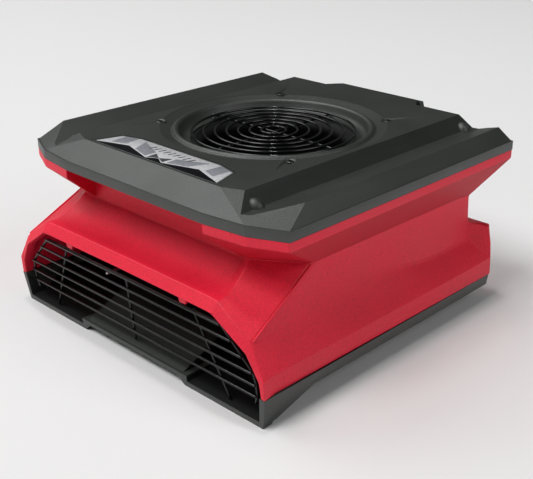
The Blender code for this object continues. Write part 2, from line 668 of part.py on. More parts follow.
def make_screw(name, seat, outward, head_radius, head_height, shank_radius, length):
    """A flat-topped screw with a plain shank: seat is the centre of the face under its head."""
    seat = Vector(seat)
    outward = Vector(outward)
    screw = rods(name, [(seat, seat + outward * head_height)], head_radius, "steel", sides=16)
    shank = rods(name + "_shank", [(seat + outward * 0.8, seat - outward * length)], shank_radius, sides=10)
    join(screw, shank)


DISC_Z = 109.0               # underside of the wheel's back disc


def blade_outline(degrees):
    """A backward-curved blade seen from above, as an outline 3 mm thick."""
    inner, outer, thickness = 66.0, WHEEL_RADIUS - 1.0, 3.0
    front = []
    back = []
    for step in range(7):
        radius = inner + (outer - inner) * step / 6
        sweep = degrees - 46.0 * (step / 6) ** 1.15
        half = math.degrees(thickness / 2 / radius)
        front.append(polar(radius, sweep + half)[:2])
        back.append(polar(radius, sweep - half)[:2])
    return front + back[::-1]


def make_impeller():
    """The fan wheel: back disc, swept blades and a coned front ring."""
    wheel = ring("impeller", 50.5, WHEEL_RADIUS, DISC_Z, DISC_Z + 3.0, "black_plastic", steps=56)
    blades = bmesh.new()
    for index in range(BLADES):
        outline = blade_outline(index * 360.0 / BLADES)
        face = blades.faces.new([blades.verts.new(at(x, y, DISC_Z + 1.5)) for x, y in outline])
        made = bmesh.ops.extrude_face_region(blades, geom=[face])
        moved = [v for v in made["geom"] if isinstance(v, bmesh.types.BMVert)]
        bmesh.ops.translate(blades, verts=moved, vec=(0.0, 0.0, 0.08))
    blade_set = from_bmesh("wheel_blades", blades, None)
    envelope = turned("blade_envelope", [(WHEEL_RADIUS - 0.6, 163.6), (WHEEL_RADIUS - 0.6, DISC_Z + 1.0),
                                         (60.0, DISC_Z + 1.0), (60.0, 181.0), (90.0, 178.6)],
                      (0.0, FAN_Y), steps=56)
    boolean(blade_set, envelope, "INTERSECT")
    front = turned("wheel_front_ring", [
        (WHEEL_RADIUS, 165.2), (WHEEL_RADIUS, 162.6), (EYE_RADIUS, 176.6), (EYE_RADIUS, 181.0),
        (EYE_RADIUS + 2.4, 181.0), (EYE_RADIUS + 2.4, 178.6)], (0.0, FAN_Y), steps=56)
    join(wheel, blade_set, front)


# ------------------------------------------------------------------- motor

CAN_LOW = 98.6
CAN_TOP = 152.0
SHAFT = 4.0


def make_motor():
    """An external-rotor motor: the can turns with the wheel round a fixed core."""
    turned("rotor_can", [(SHAFT + GAP, CAN_TOP), (48.0, CAN_TOP), (50.0, CAN_TOP - 2.5), (50.0, 108.6),
                         (58.0, 108.6), (58.0, 105.6), (50.0, 105.6), (50.0, CAN_LOW), (46.6, CAN_LOW),
                         (46.6, CAN_TOP - 4.0), (SHAFT + GAP, CAN_TOP - 4.0)], (0.0, FAN_Y), "motor_black")
    disc("motor_shaft", SHAFT, 93.0, CAN_TOP + 3.0, "steel", steps=20)
    carrier = turned("stator_carrier", [
        (16.0, 146.0), (16.0, 95.0), (43.0, 95.0), (43.0, 92.0), (11.3, 92.0), (11.3, 104.0), (9.0, 104.0),
        (9.0, 133.0), (11.3, 133.0), (11.3, 146.0)], (0.0, FAN_Y), "aluminium", steps=40)
    places = motor_screw_places(0.0)
    cut(carrier, rods("carrier_holes", [((x, y, 85.0), (x, y, 99.0)) for x, y, z in places], 2.2, sides=12))
    for name, low in (("bearing_lower", 94.0), ("bearing_upper", 134.0)):
        ring(name, SHAFT + GAP, 11.0, low, low + 8.0, "steel", steps=28)
    ring("stator_core", 16.3, 42.0, 108.0, 136.0, "lamination")
    ring("stator_winding_upper", 22.0, 39.0, 136.3, 144.0, "copper", steps=40)
    ring("stator_winding_lower", 22.0, 39.0, 100.0, 107.7, "copper", steps=40)
    pedestal = turned("motor_pedestal", [
        (43.0, 91.7), (43.0, 88.7), (27.0, 88.7), (27.0, 69.3), (43.0, 69.3), (43.0, 66.3), (20.0, 66.3),
        (20.0, 91.7)], (0.0, FAN_Y), "black_plastic", steps=40)
    cut(pedestal, rods("pedestal_holes", [((x, y, 80.0), (x, y, 99.0)) for x, y, z in places], 2.2, sides=12))
    for index, (x, y, z) in enumerate(places, 1):
        make_screw("motor_screw_%d" % index, (x, y, 95.0 + GAP), (0.0, 0.0, 1.0), 3.6, 2.2, 1.9, 9.0)


def motor_screw_places(z):
    return [polar(36.5, degrees, z) for degrees in (45.0, 135.0, 225.0, 315.0)]


# ----------------------------------------------------------------- housing

def scroll_radius(degrees):
    """Radius of the blower housing's wall, opening towards the outlet."""
    if degrees < 90.0:
        return 127.0 + 4.0 * (degrees + 20.0) / 110.0
    return 131.0 + 34.0 * ((degrees - 90.0) / 105.0) ** 1.3


def make_scroll_housing():
    """The blower housing: a deck and a spiral wall that opens towards the outlet."""
    angles = [-20.0 + 215.0 * step / 24 for step in range(25)]
    outer = [polar(scroll_radius(a), a)[:2] for a in angles]
    inner = [polar(scroll_radius(a) - 3.0, a)[:2] for a in angles]
    deck_front = RAMP_TOP[0] + 6.0
    start = (168.0, deck_front)
    end = (-172.0, deck_front)
    wall = prism("scroll_housing", [start] + outer + [end, (end[0] + 3.2, deck_front)] + inner[::-1]
                 + [(start[0] - 3.2, deck_front)], "Z", DECK_Z, 197.0, "black_plastic")
    deck = prism("scroll_deck", [start, (172.0, 200.0)] + outer[4:] + [end], "Z", DECK_Z, DECK_Z + 4.0)
    join(wall, deck)
    cut(wall, rods("deck_screw_holes", [((x, y, 50.0), (x, y, 75.0)) for x, y in POSTS], 2.6, sides=12))


def make_tray_screws():
    for index, (x, y) in enumerate(POSTS, 1):
        make_screw("tray_screw_%d" % index, (x, y, SKIRT_Z - GAP), (0.0, 0.0, -1.0), 4.6, 2.6, 2.2, 44.0)


# ---------------------------------------------------------------- controls

SWITCH_X = -74.0
METER_X = -26.0
RECEPTACLE_X = 42.0
BREAKER_X = -99.0
GLAND_X = 97.0


def make_control_panel():
    panel = box("control_panel", (-118.0, PANEL_Y, 42.0), (118.0, PANEL_FRONT, 96.0), "panel_grey")
    cut(panel, boxes("panel_cutouts", [
        ((SWITCH_X - 12.3, 380.0, DEVICE_Z - 17.3), (SWITCH_X + 12.3, 410.0, DEVICE_Z + 17.3)),
        ((METER_X - 20.3, 380.0, DEVICE_Z - 10.3), (METER_X + 20.3, 410.0, DEVICE_Z + 10.3)),
        ((RECEPTACLE_X - 34.3, 380.0, DEVICE_Z - 18.8), (RECEPTACLE_X + 34.3, 410.0, DEVICE_Z + 18.8))]))
    cut(panel, rods("panel_holes", [((BREAKER_X, 380.0, DEVICE_Z), (BREAKER_X, 410.0, DEVICE_Z)),
                                    ((GLAND_X, 380.0, DEVICE_Z), (GLAND_X, 410.0, DEVICE_Z))], 8.0, sides=24))
    screw_spans = [((x, y, z), (x, 410.0, z)) for x, y, z in panel_screw_places(380.0)]
    cut(panel, rods("panel_screw_holes", screw_spans, 1.9, sides=12))
    for index, (x, y, z) in enumerate(panel_screw_places(PANEL_FRONT + GAP), 1):
        make_screw("panel_screw_%d" % index, (x, y, z), (0.0, 1.0, 0.0), 3.4, 2.0, 1.6, 9.0)


def make_switch():
    front = PANEL_FRONT + GAP
    body = box("switch_housing", (SWITCH_X - 12.0, 376.0, DEVICE_Z - 17.0),
               (SWITCH_X + 12.0, front + 1.0, DEVICE_Z + 17.0), "black_plastic")
    join(body, box("switch_bezel", (SWITCH_X - 14.5, front, DEVICE_Z - 20.0),
                   (SWITCH_X + 14.5, front + 2.6, DEVICE_Z + 20.0)))
    cut(body, box("switch_pocket", (SWITCH_X - 9.0, 385.0, DEVICE_Z - 14.0),
                  (SWITCH_X + 9.0, 410.0, DEVICE_Z + 14.0)))
    rocker = prism("speed_switch", [
        (389.5, DEVICE_Z - 9.0), (402.4, DEVICE_Z - 12.4), (401.0, DEVICE_Z), (402.4, DEVICE_Z + 12.4),
        (389.5, DEVICE_Z + 9.0)], "X", SWITCH_X - 8.6, SWITCH_X + 8.6, "signal_red")
    move_origin(rocker, SWITCH_X, 395.0, DEVICE_Z)


def make_receptacle():
    """A duplex receptacle with a ground-fault tester between its two outlets."""
    front = 402.0
    body = box("receptacle", (RECEPTACLE_X - 34.0, 374.0, DEVICE_Z - 18.5),
               (RECEPTACLE_X + 34.0, front, DEVICE_Z + 18.5), "ivory")
    cuts = []
    for side in (-1, 1):
        middle = RECEPTACLE_X + side * 21.0
        for low, high, half in ((-6.8, -4.9, 4.5), (4.9, 6.8, 3.8)):
            cuts.append(((middle + low, front - 9.0, DEVICE_Z - half),
                         (middle + high, front + 2.0, DEVICE_Z + half)))
    cut(body, boxes("receptacle_slots", cuts))
    cut(body, rods("receptacle_grounds", [((RECEPTACLE_X + side * 21.0, front - 9.0, DEVICE_Z - 8.5),
                                           (RECEPTACLE_X + side * 21.0, front + 2.0, DEVICE_Z - 8.5))
                                          for side in (-1, 1)], 2.4, sides=12))
    middle = RECEPTACLE_X
    for name, z, kind in (("test", DEVICE_Z + 6.0, "black_plastic"), ("reset", DEVICE_Z - 6.0, "signal_red")):
        cut(body, box(name + "_pocket", (middle - 5.3, front - 6.0, z - 3.3),
                      (middle + 5.3, front + 2.0, z + 3.3)))
        button = box(name + "_button", (middle - 5.0, front - 4.1, z - 3.0),
                     (middle + 5.0, front + 1.4, z + 3.0), kind)
        move_origin(button, middle, front, z)


def make_hour_meter():
    front = PANEL_FRONT + GAP
    body = box("hour_meter", (METER_X - 20.0, 380.0, DEVICE_Z - 10.0),
               (METER_X + 20.0, front + 0.5, DEVICE_Z + 10.0), "black_plastic")
    join(body, box("meter_bezel", (METER_X - 23.0, front, DEVICE_Z - 13.0),
                   (METER_X + 23.0, front + 2.2, DEVICE_Z + 13.0)))
    cut(body, box("meter_window", (METER_X - 16.0, front - 3.0, DEVICE_Z - 6.5),
                  (METER_X + 16.0, front + 5.0, DEVICE_Z + 6.5)))
    box("hour_meter_lens", (METER_X - 15.7, front - 0.6, DEVICE_Z - 6.2),
        (METER_X + 15.7, front + 1.2, DEVICE_Z + 6.2), "lens")


def crosswise(name, x, front, rear, radius, sides, kind=None):
    """A round bar on the panel's middle line, square to the panel."""
    return rods(name, [((x, front, DEVICE_Z), (x, rear, DEVICE_Z))], radius, kind, sides)


def make_breaker():
    front = PANEL_FRONT + GAP
    body = crosswise("circuit_breaker", BREAKER_X, 376.0, front + 1.0, 7.7, 24, "black_plastic")
    join(body, crosswise("breaker_collar", BREAKER_X, front, front + 3.0, 9.5, 6))
    cut(body, crosswise("breaker_bore", BREAKER_X, 392.0, 420.0, 4.4, 20))
    button = crosswise("breaker_button", BREAKER_X, 394.4, front + 5.0, 4.0, 20, "signal_amber")
    move_origin(button, BREAKER_X, front, DEVICE_Z)


def make_gland():
    """The cord's inlet, with its bore open for the lead."""
    front = PANEL_FRONT + GAP
    body = crosswise("cord_gland", GLAND_X, 384.0, front + 1.0, 7.7, 24, "black_plastic")
    join(body, crosswise("gland_nut", GLAND_X, front, front + 7.0, 10.5, 6))
    nose = bmesh.new()
    add_rod(nose, (GLAND_X, front + 5.0, DEVICE_Z), (GLAND_X, front + 15.0, DEVICE_Z), 8.4, 24, 6.0)
    join(body, from_bmesh("gland_nose", nose, None))
    cut(body, crosswise("gland_bore", GLAND_X, 370.0, 430.0, 4.2, 16))


def make_electrics():
    """Run capacitor with its strap, and the wiring box, on the tray floor."""
    y = 205.0
    z = FLOOR_Z + GAP + 16.5
    rods("run_capacitor", [((-118.0, y, z), (-58.0, y, z))], 15.0, "aluminium", sides=28)
    strap = rods("capacitor_strap", [((-93.0, y, z), (-83.0, y, z))], 17.3, "zinc", sides=28)
    cut(strap, rods("strap_bore", [((-110.0, y, z), (-60.0, y, z))], 15.3, sides=28))
    join(strap, box("strap_foot", (-93.0, y + 8.0, FLOOR_Z + GAP), (-83.0, y + 30.0, FLOOR_Z + GAP + 2.0)))
    cut(strap, box("strap_floor_cut", (-120.0, y - 40.0, 0.0), (-50.0, y + 40.0, FLOOR_Z + GAP)))
    box("terminal_box", (-10.0, 185.0, FLOOR_Z + GAP), (52.0, 235.0, FLOOR_Z + 28.0), "panel_grey")


# ------------------------------------------------------------ outside trim

def make_label_plate():
    """A plain faceted badge on the front of the plateau."""
    prism("label_plate", LABEL, "Z", TOP_Z - 0.6, TOP_Z - 0.05, "label_silver")


def make_rear_handle():
    """Carry handle: a grip bar behind the cover's rear lip on two thin curved arms."""
    arm = [(84.0, 406.5), (81.0, 414.5), (70.5, 427.6), (67.0, HANDLE_REAR), (63.8, 427.0), (67.6, 424.5),
           (78.2, 411.8), (81.0, 406.0)]
    handle = box("rear_handle", (-67.5, 426.8, 194.0), (67.5, HANDLE_REAR, TOP_Z - 1.0), "charcoal_plastic")
    for side, name in ((1, "right"), (-1, "left")):
        outline = [(side * x, y) for x, y in arm]
        join(handle, prism("handle_arm_" + name, outline, "Z", TOP_Z - 4.4, TOP_Z - 1.2))
    slope = prism("handle_rest", [(396.0, 189.0), (COVER_REAR + GAP, 189.0), (COVER_REAR + GAP, EDGE_Z + 0.2),
                                  (409.0 + GAP, TOP_Z + 0.4), (396.0, TOP_Z + 0.4)], "X", -120.0, 120.0)
    cut(handle, slope)


def clear_scene():
    for obj in list(bpy.data.objects):
        bpy.data.objects.remove(obj)


def main():
    clear_scene()
    make_top_cover()
    finish_upper_body(make_upper_body())
    make_base_tray()
    make_feet()
    make_outlet_grille()
    make_grille_stay()
    make_inlet_guard()
    make_guard_clips()
    make_inlet_ring()
    make_cover_screws()
    make_impeller()
    make_motor()
    make_scroll_housing()
    make_tray_screws()
    make_control_panel()
    make_switch()
    make_receptacle()
    make_hour_meter()
    make_breaker()
    make_gland()
    make_electrics()
    make_label_plate()
    make_rear_handle()


main()
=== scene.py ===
"""Looks of the low-profile air mover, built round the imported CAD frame.

Sizes are in millimetres, and places are given from the middle of the outlet
sill on the floor: x to the right, y from the outlet towards the rear, z up.
The function at() turns a place into the frame's metres.
"""
import math

import bmesh
import bpy
from mathutils import Matrix, Vector


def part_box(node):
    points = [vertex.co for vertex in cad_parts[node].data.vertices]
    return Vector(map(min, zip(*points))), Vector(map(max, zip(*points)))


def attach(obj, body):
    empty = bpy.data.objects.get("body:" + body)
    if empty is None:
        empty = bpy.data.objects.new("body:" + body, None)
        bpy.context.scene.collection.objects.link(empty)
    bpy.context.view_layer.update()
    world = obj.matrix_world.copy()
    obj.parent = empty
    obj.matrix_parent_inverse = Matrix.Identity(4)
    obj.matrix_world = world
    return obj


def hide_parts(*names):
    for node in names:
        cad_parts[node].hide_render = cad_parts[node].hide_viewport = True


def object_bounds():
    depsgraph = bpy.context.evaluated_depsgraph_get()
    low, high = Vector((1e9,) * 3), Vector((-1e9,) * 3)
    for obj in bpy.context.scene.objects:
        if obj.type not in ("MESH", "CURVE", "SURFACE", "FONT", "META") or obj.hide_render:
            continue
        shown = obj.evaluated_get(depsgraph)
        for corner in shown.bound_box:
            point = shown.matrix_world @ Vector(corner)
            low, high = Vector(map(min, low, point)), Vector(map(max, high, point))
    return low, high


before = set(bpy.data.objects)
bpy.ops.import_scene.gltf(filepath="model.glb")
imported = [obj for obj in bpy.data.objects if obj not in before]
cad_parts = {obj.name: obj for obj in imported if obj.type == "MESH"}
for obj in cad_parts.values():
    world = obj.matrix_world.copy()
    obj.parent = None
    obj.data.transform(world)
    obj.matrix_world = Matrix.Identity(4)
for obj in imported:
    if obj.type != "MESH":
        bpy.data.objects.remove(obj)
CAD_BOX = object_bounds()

MM = 0.001
MOUTH_FRONT = -10.6  # foremost edge of the outlet's rim, from the sill
CENTRE_Y = MOUTH_FRONT - CAD_BOX[0].y / MM
TOP_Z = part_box("top_cover")[1].z / MM
COVER_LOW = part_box("top_cover")[0].z / MM
PAD_Z = TOP_Z - 2.2  # seats of the cover's four screws
EDGE_Z = 201.0  # top of the cover's upright edge band
SPLIT_Z = 189.7  # joint between cover and body
BAND_Z = 179.7  # bottom of the body's upright upper band
WAIST_Z = 142.4  # the body's narrowest level
CREASE_Z = 57.5  # crease above the tray joint
TRAY_Z = 36.4  # joint between body and tray
GAP = 0.3  # clearance between two pieces
HALF_WIDTH = 208.5
BODY_HALF_WIDTH = 209.0
COVER_REAR = 418.0
REAR_FACE = 396.0
WALL = 3.2  # thickness of the cover
SKIN = 2.4  # thickness of the body
RAIL_Z = 218.3  # top of the rails outside the grooves
GROOVE_Z = 206.5  # bottom of the stacking grooves
FAN_Y = 226.6
DISH_RADIUS = 134.8  # outer edge of the inlet surround
SCREW_CIRCLE = 137.0
SCREW_ANGLES = (-38.4, 49.8, 130.2, 218.4)
GUARD_Z = 212.7
GUARD_RADIUS = 97.0
RING_STEP = 13.7
RINGS = 7
WIRE = 1.5  # radius of the guards' wires
WHEEL_RADIUS = 112.0
EYE_RADIUS = 88.5  # inner radius of the wheel's front ring
DISC_Z = 109.0  # underside of the wheel's disc
BLADES = 9
ROUND_STEPS = 160  # steps round a large turned shape

COVER_OUTLINE = [(113.8, 9.1), (167.1, 16.0), (HALF_WIDTH, 34.3), (HALF_WIDTH, COVER_REAR)]
PLATEAU = [(112.2, 36.4), (136.8, 46.5), (135.8, 409.0)]
LABEL = [(-104.0, 39.5), (-92.0, 76.0), (-63.0, 83.0), (63.0, 83.0), (92.0, 76.0), (104.0, 39.5)]
RAIL = [(198.0, 66.2), (195.5, 404.0)]
LEDGE = 1.6  # how far the cover's upright edge stands proud of its slopes
STOP_FOOT = (150.0, 205.5)  # x and z of a stacking stop's wide end, and of its tip
STOP_TIP = (146.0, 211.5)
STOP_RADIUS = 8.0
STOP_REACH = 10.5  # from the foot's centre to the end of the dome
STOP_PLACES = ((49.0, -1.5), (399.0, 1.5))  # y of each stop, and how far its tip leans in y
INNER_SLOPE = (135.0, 155.0)  # x of the grooves' inner slopes, and y of their plain stretch
PLAIN_GROOVE = (60.0, 388.0)
POCKET_TIPS = [(118.5, 106.0), (102.5, 359.0), (-102.5, 359.0), (-118.5, 106.0)]
PANEL_SCREWS = [(side * 113.0, z) for side in (1, -1) for z in (47.0, 91.0)]
CORNERS = (45.0, 135.0, 225.0, 315.0)  # directions of the motor's screws


def at(x, y, z):
    """A place in the frame, in metres."""
    return Vector((x * MM, (y - CENTRE_Y) * MM, z * MM))


# ---------- materials

def shader_of(name, colour, roughness, metallic=0.0):
    """A new material with its node tree, shader and object coordinates."""
    material = bpy.data.materials.new(name)
    material.use_nodes = True
    tree = material.node_tree
    shader = tree.nodes["Principled BSDF"]
    shader.inputs["Base Color"].default_value = (*colour, 1.0)
    shader.inputs["Roughness"].default_value = roughness
    shader.inputs["Metallic"].default_value = metallic
    coords = tree.nodes.new("ShaderNodeTexCoord")
    return material, tree, shader, coords.outputs["Object"]


def noise(tree, vector, scale, detail=3.0, roughness=0.5):
    node = tree.nodes.new("ShaderNodeTexNoise")
    node.inputs["Scale"].default_value = scale
    node.inputs["Detail"].default_value = detail
    node.inputs["Roughness"].default_value = roughness
    tree.links.new(vector, node.inputs["Vector"])
    return node.outputs["Fac"]


def remap(tree, value, low, high, start=0.3, end=0.7):
    """Spread a texture's useful range over two end values."""
    node = tree.nodes.new("ShaderNodeMapRange")
    node.inputs["From Min"].default_value = start
    node.inputs["From Max"].default_value = end
    node.inputs["To Min"].default_value = low
    node.inputs["To Max"].default_value = high
    tree.links.new(value, node.inputs["Value"])
    return node.outputs["Result"]


def shade(tree, colour, factor):
    """A colour multiplied by a varying factor."""
    node = tree.nodes.new("ShaderNodeVectorMath")
    node.operation = "SCALE"
    node.inputs[0].default_value = colour[:3]
    tree.links.new(factor, node.inputs["Scale"])
    return node.outputs["Vector"]


def product(tree, first, second):
    node = tree.nodes.new("ShaderNodeMath")
    node.operation = "MULTIPLY"
    tree.links.new(first, node.inputs[0])
    tree.links.new(second, node.inputs[1])
    return node.outputs["Value"]


def bump(tree, shader, height, strength, distance):
    node = tree.nodes.new("ShaderNodeBump")
    node.inputs["Strength"].default_value = strength
    node.inputs["Distance"].default_value = distance
    tree.links.new(height, node.inputs["Height"])
    tree.links.new(node.outputs["Normal"], shader.inputs["Normal"])


def moulded(name, colour, roughness=0.5, grain=0.6, speckle=0.16, specular=0.5):
    """Moulded plastic with a spark-eroded grain: tiny pits, faint speckle and slow drifts of tone."""
    material, tree, shader, coords = shader_of(name, colour, roughness)
    shader.inputs["Specular IOR Level"].default_value = specular
    fine = noise(tree, coords, 700.0, 3.0, 0.7)
    drift = noise(tree, coords, 16.0, 3.0)
    tone = product(tree, remap(tree, fine, 1.0 - speckle, 1.0 + speckle), remap(tree, drift, 0.95, 1.05))
    tree.links.new(shade(tree, colour, tone), shader.inputs["Base Color"])
    tree.links.new(remap(tree, drift, roughness - 0.04, roughness + 0.05), shader.inputs["Roughness"])
    bump(tree, shader, fine, grain, 0.0004)
    return material


def painted_depth_shade(name, colour, roughness, axis, start, end, dark=0.1):
    """Moulded plastic with painted shade: darker from one height or depth to another, standing in for the
    shade deep inside the air mover.
    """
    material, tree, shader, coords = shader_of(name, colour, roughness)
    shader.inputs["Specular IOR Level"].default_value = 0.15
    split = tree.nodes.new("ShaderNodeSeparateXYZ")
    tree.links.new(coords, split.inputs["Vector"])
    depth = remap(tree, split.outputs[axis], 1.0, dark, start, end)
    fine = noise(tree, coords, 900.0, 3.0, 0.7)
    tone = product(tree, depth, remap(tree, fine, 0.8, 1.2))
    tree.links.new(shade(tree, colour, tone), shader.inputs["Base Color"])
    bump(tree, shader, fine, 0.5, 0.0004)
    return material


def painted(name, colour, roughness=0.25, metallic=0.0, specular=0.5):
    """Powder coat or gloss paint with a slight orange peel."""
    material, tree, shader, coords = shader_of(name, colour, roughness, metallic)
    shader.inputs["Specular IOR Level"].default_value = specular
    peel = noise(tree, coords, 520.0, 2.0)
    tree.links.new(remap(tree, peel, roughness - 0.05, roughness + 0.07), shader.inputs["Roughness"])
    tree.links.new(shade(tree, colour, remap(tree, peel, 0.85, 1.15)), shader.inputs["Base Color"])
    bump(tree, shader, peel, 0.12, 0.0001)
    return material


def metal(name, colour, roughness=0.3, stretch=(60.0, 900.0, 900.0)):
    """Bare or plated metal with fine drawn lines."""
    material, tree, shader, coords = shader_of(name, colour, roughness, 1.0)
    mapping = tree.nodes.new("ShaderNodeMapping")
    mapping.inputs["Scale"].default_value = stretch
    tree.links.new(coords, mapping.inputs["Vector"])
    lines = noise(tree, mapping.outputs["Vector"], 1.0, 4.0, 0.65)
    tree.links.new(remap(tree, lines, roughness - 0.1, roughness + 0.14), shader.inputs["Roughness"])
    tree.links.new(shade(tree, colour, remap(tree, lines, 0.82, 1.1)), shader.inputs["Base Color"])
    bump(tree, shader, lines, 0.08, 0.00005)
    return material


def rubber(name):
    """Black rubber with pale dust in its pores."""
    colour = (0.016, 0.016, 0.016)
    material, tree, shader, coords = shader_of(name, colour, 0.8)
    dust = noise(tree, coords, 90.0, 5.0, 0.7)
    tree.links.new(shade(tree, colour, remap(tree, dust, 0.7, 1.8)), shader.inputs["Base Color"])
    tree.links.new(remap(tree, dust, 0.7, 0.92), shader.inputs["Roughness"])
    bump(tree, shader, noise(tree, coords, 1500.0), 0.3, 0.0001)
    return material


def copper_winding():
    """Lacquered copper wire wound round the core."""
    material, tree, shader, coords = shader_of("copper_winding", (0.50, 0.17, 0.06), 0.3, 1.0)
    turns = tree.nodes.new("ShaderNodeTexWave")
    turns.bands_direction = "Z"
    turns.inputs["Scale"].default_value = 420.0
    turns.inputs["Distortion"].default_value = 2.0
    turns.inputs["Detail Scale"].default_value = 3.0
    tree.links.new(coords, turns.inputs["Vector"])
    tree.links.new(shade(tree, (0.52, 0.18, 0.06), remap(tree, turns.outputs["Fac"], 0.45, 1.1, 0.0, 1.0)),
                   shader.inputs["Base Color"])
    bump(tree, shader, turns.outputs["Fac"], 0.6, 0.0004)
    return material


def stacked_steel():
    """The motor core's thin punched sheets, seen on edge."""
    material, tree, shader, coords = shader_of("stacked_steel", (0.15, 0.15, 0.16), 0.5, 0.9)
    sheets = tree.nodes.new("ShaderNodeTexWave")
    sheets.bands_direction = "Z"
    sheets.inputs["Scale"].default_value = 640.0
    tree.links.new(coords, sheets.inputs["Vector"])
    tree.links.new(shade(tree, (0.2, 0.2, 0.21), remap(tree, sheets.outputs["Fac"], 0.4, 1.1, 0.0, 1.0)),
                   shader.inputs["Base Color"])
    bump(tree, shader, sheets.outputs["Fac"], 0.5, 0.0002)
    return material


GREY = moulded("grey_plastic", (0.0205, 0.0252, 0.0212), 0.44, 0.9, 0.3, 0.85)
# Painted shade: half as bright as the grey, for the grooves' inner slopes.
GROOVE_PAINTED_SHADE = moulded("groove_painted_shade", (0.0105, 0.0128, 0.0108), 0.5, 0.9, 0.3, 0.5)
RED = moulded("red_plastic", (0.78, 0.011, 0.040), 0.48, 0.8, 0.2, 0.4)
# Painted shade: a darker copy of the red for the downward faces under the cover.
RED_PAINTED_SHADE = moulded("red_painted_shade", (0.50, 0.008, 0.024), 0.5, 0.8, 0.2, 0.3)
BLACK = moulded("black_plastic", (0.010, 0.010, 0.010), 0.46, 0.3, 0.15)
# Black plastic for the wheel and the duct, made darker than the other black as painted shade for the deep
# duct.
DUCT_SHADE_BLACK = moulded("duct_black_painted_shade", (0.004, 0.004, 0.004), 0.6, 0.3, 0.15, 0.2)
# Painted shade: darker copies of the grey plastic for the tray's inside and its side channels, darkening
# towards the rear.
TRAY_PAINTED_SHADE = painted_depth_shade("tray_painted_shade", (0.036, 0.041, 0.037), 0.6, "Y", at(0, 2, 0).y, at(0, 80, 0).y)
CHANNEL_PAINTED_SHADE = painted_depth_shade("channel_painted_shade", (0.011, 0.0125, 0.012), 0.6, "Y",
                               at(0, 0, 0).y, at(0, 40, 0).y)
# Painted shade: the inlet bell turns nearly black as it goes down into the fan.
BELL_PAINTED_SHADE = painted_depth_shade("bell_painted_shade", (0.013, 0.0145, 0.013), 0.5, "Z", 0.2035, 0.190)
IVORY = moulded("ivory_plastic", (0.66, 0.62, 0.51), 0.4, 0.1, 0.04)
BUTTON_RED = moulded("button_red", (0.5, 0.015, 0.015), 0.35, 0.1, 0.04)
AMBER = moulded("button_amber", (0.72, 0.30, 0.015), 0.35, 0.1, 0.04)
WIRE_PAINT = painted("wire_coat", (0.004, 0.0045, 0.0045), 0.2, specular=0.4)
GUARD_PAINT = painted("guard_coat", (0.004, 0.0045, 0.0045), 0.12, specular=0.6)
MOTOR_PAINT = painted("motor_coat", (0.008, 0.008, 0.009), 0.42, specular=0.3)
PANEL_PAINT = painted("panel_coat", (0.028, 0.030, 0.030), 0.42)
BADGE_BLACK = painted("badge_black", (0.004, 0.004, 0.005), 0.5, specular=0.1)
BADGE_LIGHT = painted("badge_light", (0.60, 0.60, 0.62), 0.35, 0.15)
BADGE_MID = painted("badge_mid", (0.27, 0.28, 0.31), 0.35, 0.15)
BADGE_DEEP = painted("badge_deep", (0.07, 0.08, 0.075), 0.35, 0.15)
BADGE_LINE = painted("badge_line", (0.22, 0.22, 0.22), 0.35)
DARK_STEEL = metal("black_oxide_steel", (0.09, 0.09, 0.09), 0.3)
ZINC = metal("zinc_plate", (0.66, 0.66, 0.65), 0.26)
STEEL = metal("plain_steel", (0.48, 0.48, 0.49), 0.26, (900.0, 900.0, 60.0))
CAST = metal("cast_aluminium", (0.50, 0.51, 0.52), 0.45, (300.0, 300.0, 300.0))
RUBBER = rubber("foot_rubber")
COPPER = copper_winding()
CORE = stacked_steel()
LCD = painted("display_face", (0.22, 0.26, 0.20), 0.2)


# ---------- mesh helpers

def smooth(obj, degrees=32.0):
    obj.data.shade_smooth()
    obj.data.set_sharp_from_angle(angle=math.radians(degrees))
    return obj


def made(name, bm, material, recalculate=True):
    """An object from a bmesh, with one material."""
    if recalculate:
        bmesh.ops.recalc_face_normals(bm, faces=bm.faces)
    mesh = bpy.data.meshes.new(name)
    bm.to_mesh(mesh)
    bm.free()
    mesh.materials.append(material)
    obj = bpy.data.objects.new(name, mesh)
    bpy.context.scene.collection.objects.link(obj)
    return obj


def bake(obj):
    """Turn an object's modifiers into its mesh."""
    bpy.context.view_layer.update()
    graph = bpy.context.evaluated_depsgraph_get()
    mesh = bpy.data.meshes.new_from_object(obj.evaluated_get(graph))
    obj.modifiers.clear()
    obj.data = mesh
    return obj


def combine(obj, operation, *others):
    """Join or cut an object with others, which are used up."""
    for other in others:
        modifier = obj.modifiers.new(operation.lower(), "BOOLEAN")
        modifier.operation = operation
        modifier.object = other
        modifier.solver = "EXACT"
    bake(obj)
    for other in others:
        bpy.data.objects.remove(other)
    return obj


def cut(obj, *others):
    return combine(obj, "DIFFERENCE", *others)


def join(obj, *others):
    return combine(obj, "UNION", *others)


def soften(obj, width=0.8, segments=3, angle=14.0):
    """Round every edge sharper than an angle, as a mould leaves it."""
    bm = bmesh.new()
    bm.from_mesh(obj.data)
    bmesh.ops.remove_doubles(bm, verts=bm.verts, dist=0.000004)
    bmesh.ops.dissolve_limit(bm, angle_limit=math.radians(0.4), verts=bm.verts, edges=bm.edges)
    bm.to_mesh(obj.data)
    bm.free()
    bevel = obj.modifiers.new("soften", "BEVEL")
    bevel.width = width * MM
    bevel.segments = segments
    bevel.limit_method = "ANGLE"
    bevel.angle_limit = math.radians(angle)
    bevel.use_clamp_overlap = True
    bevel.harden_normals = False
    bake(obj)
    return smooth(obj)


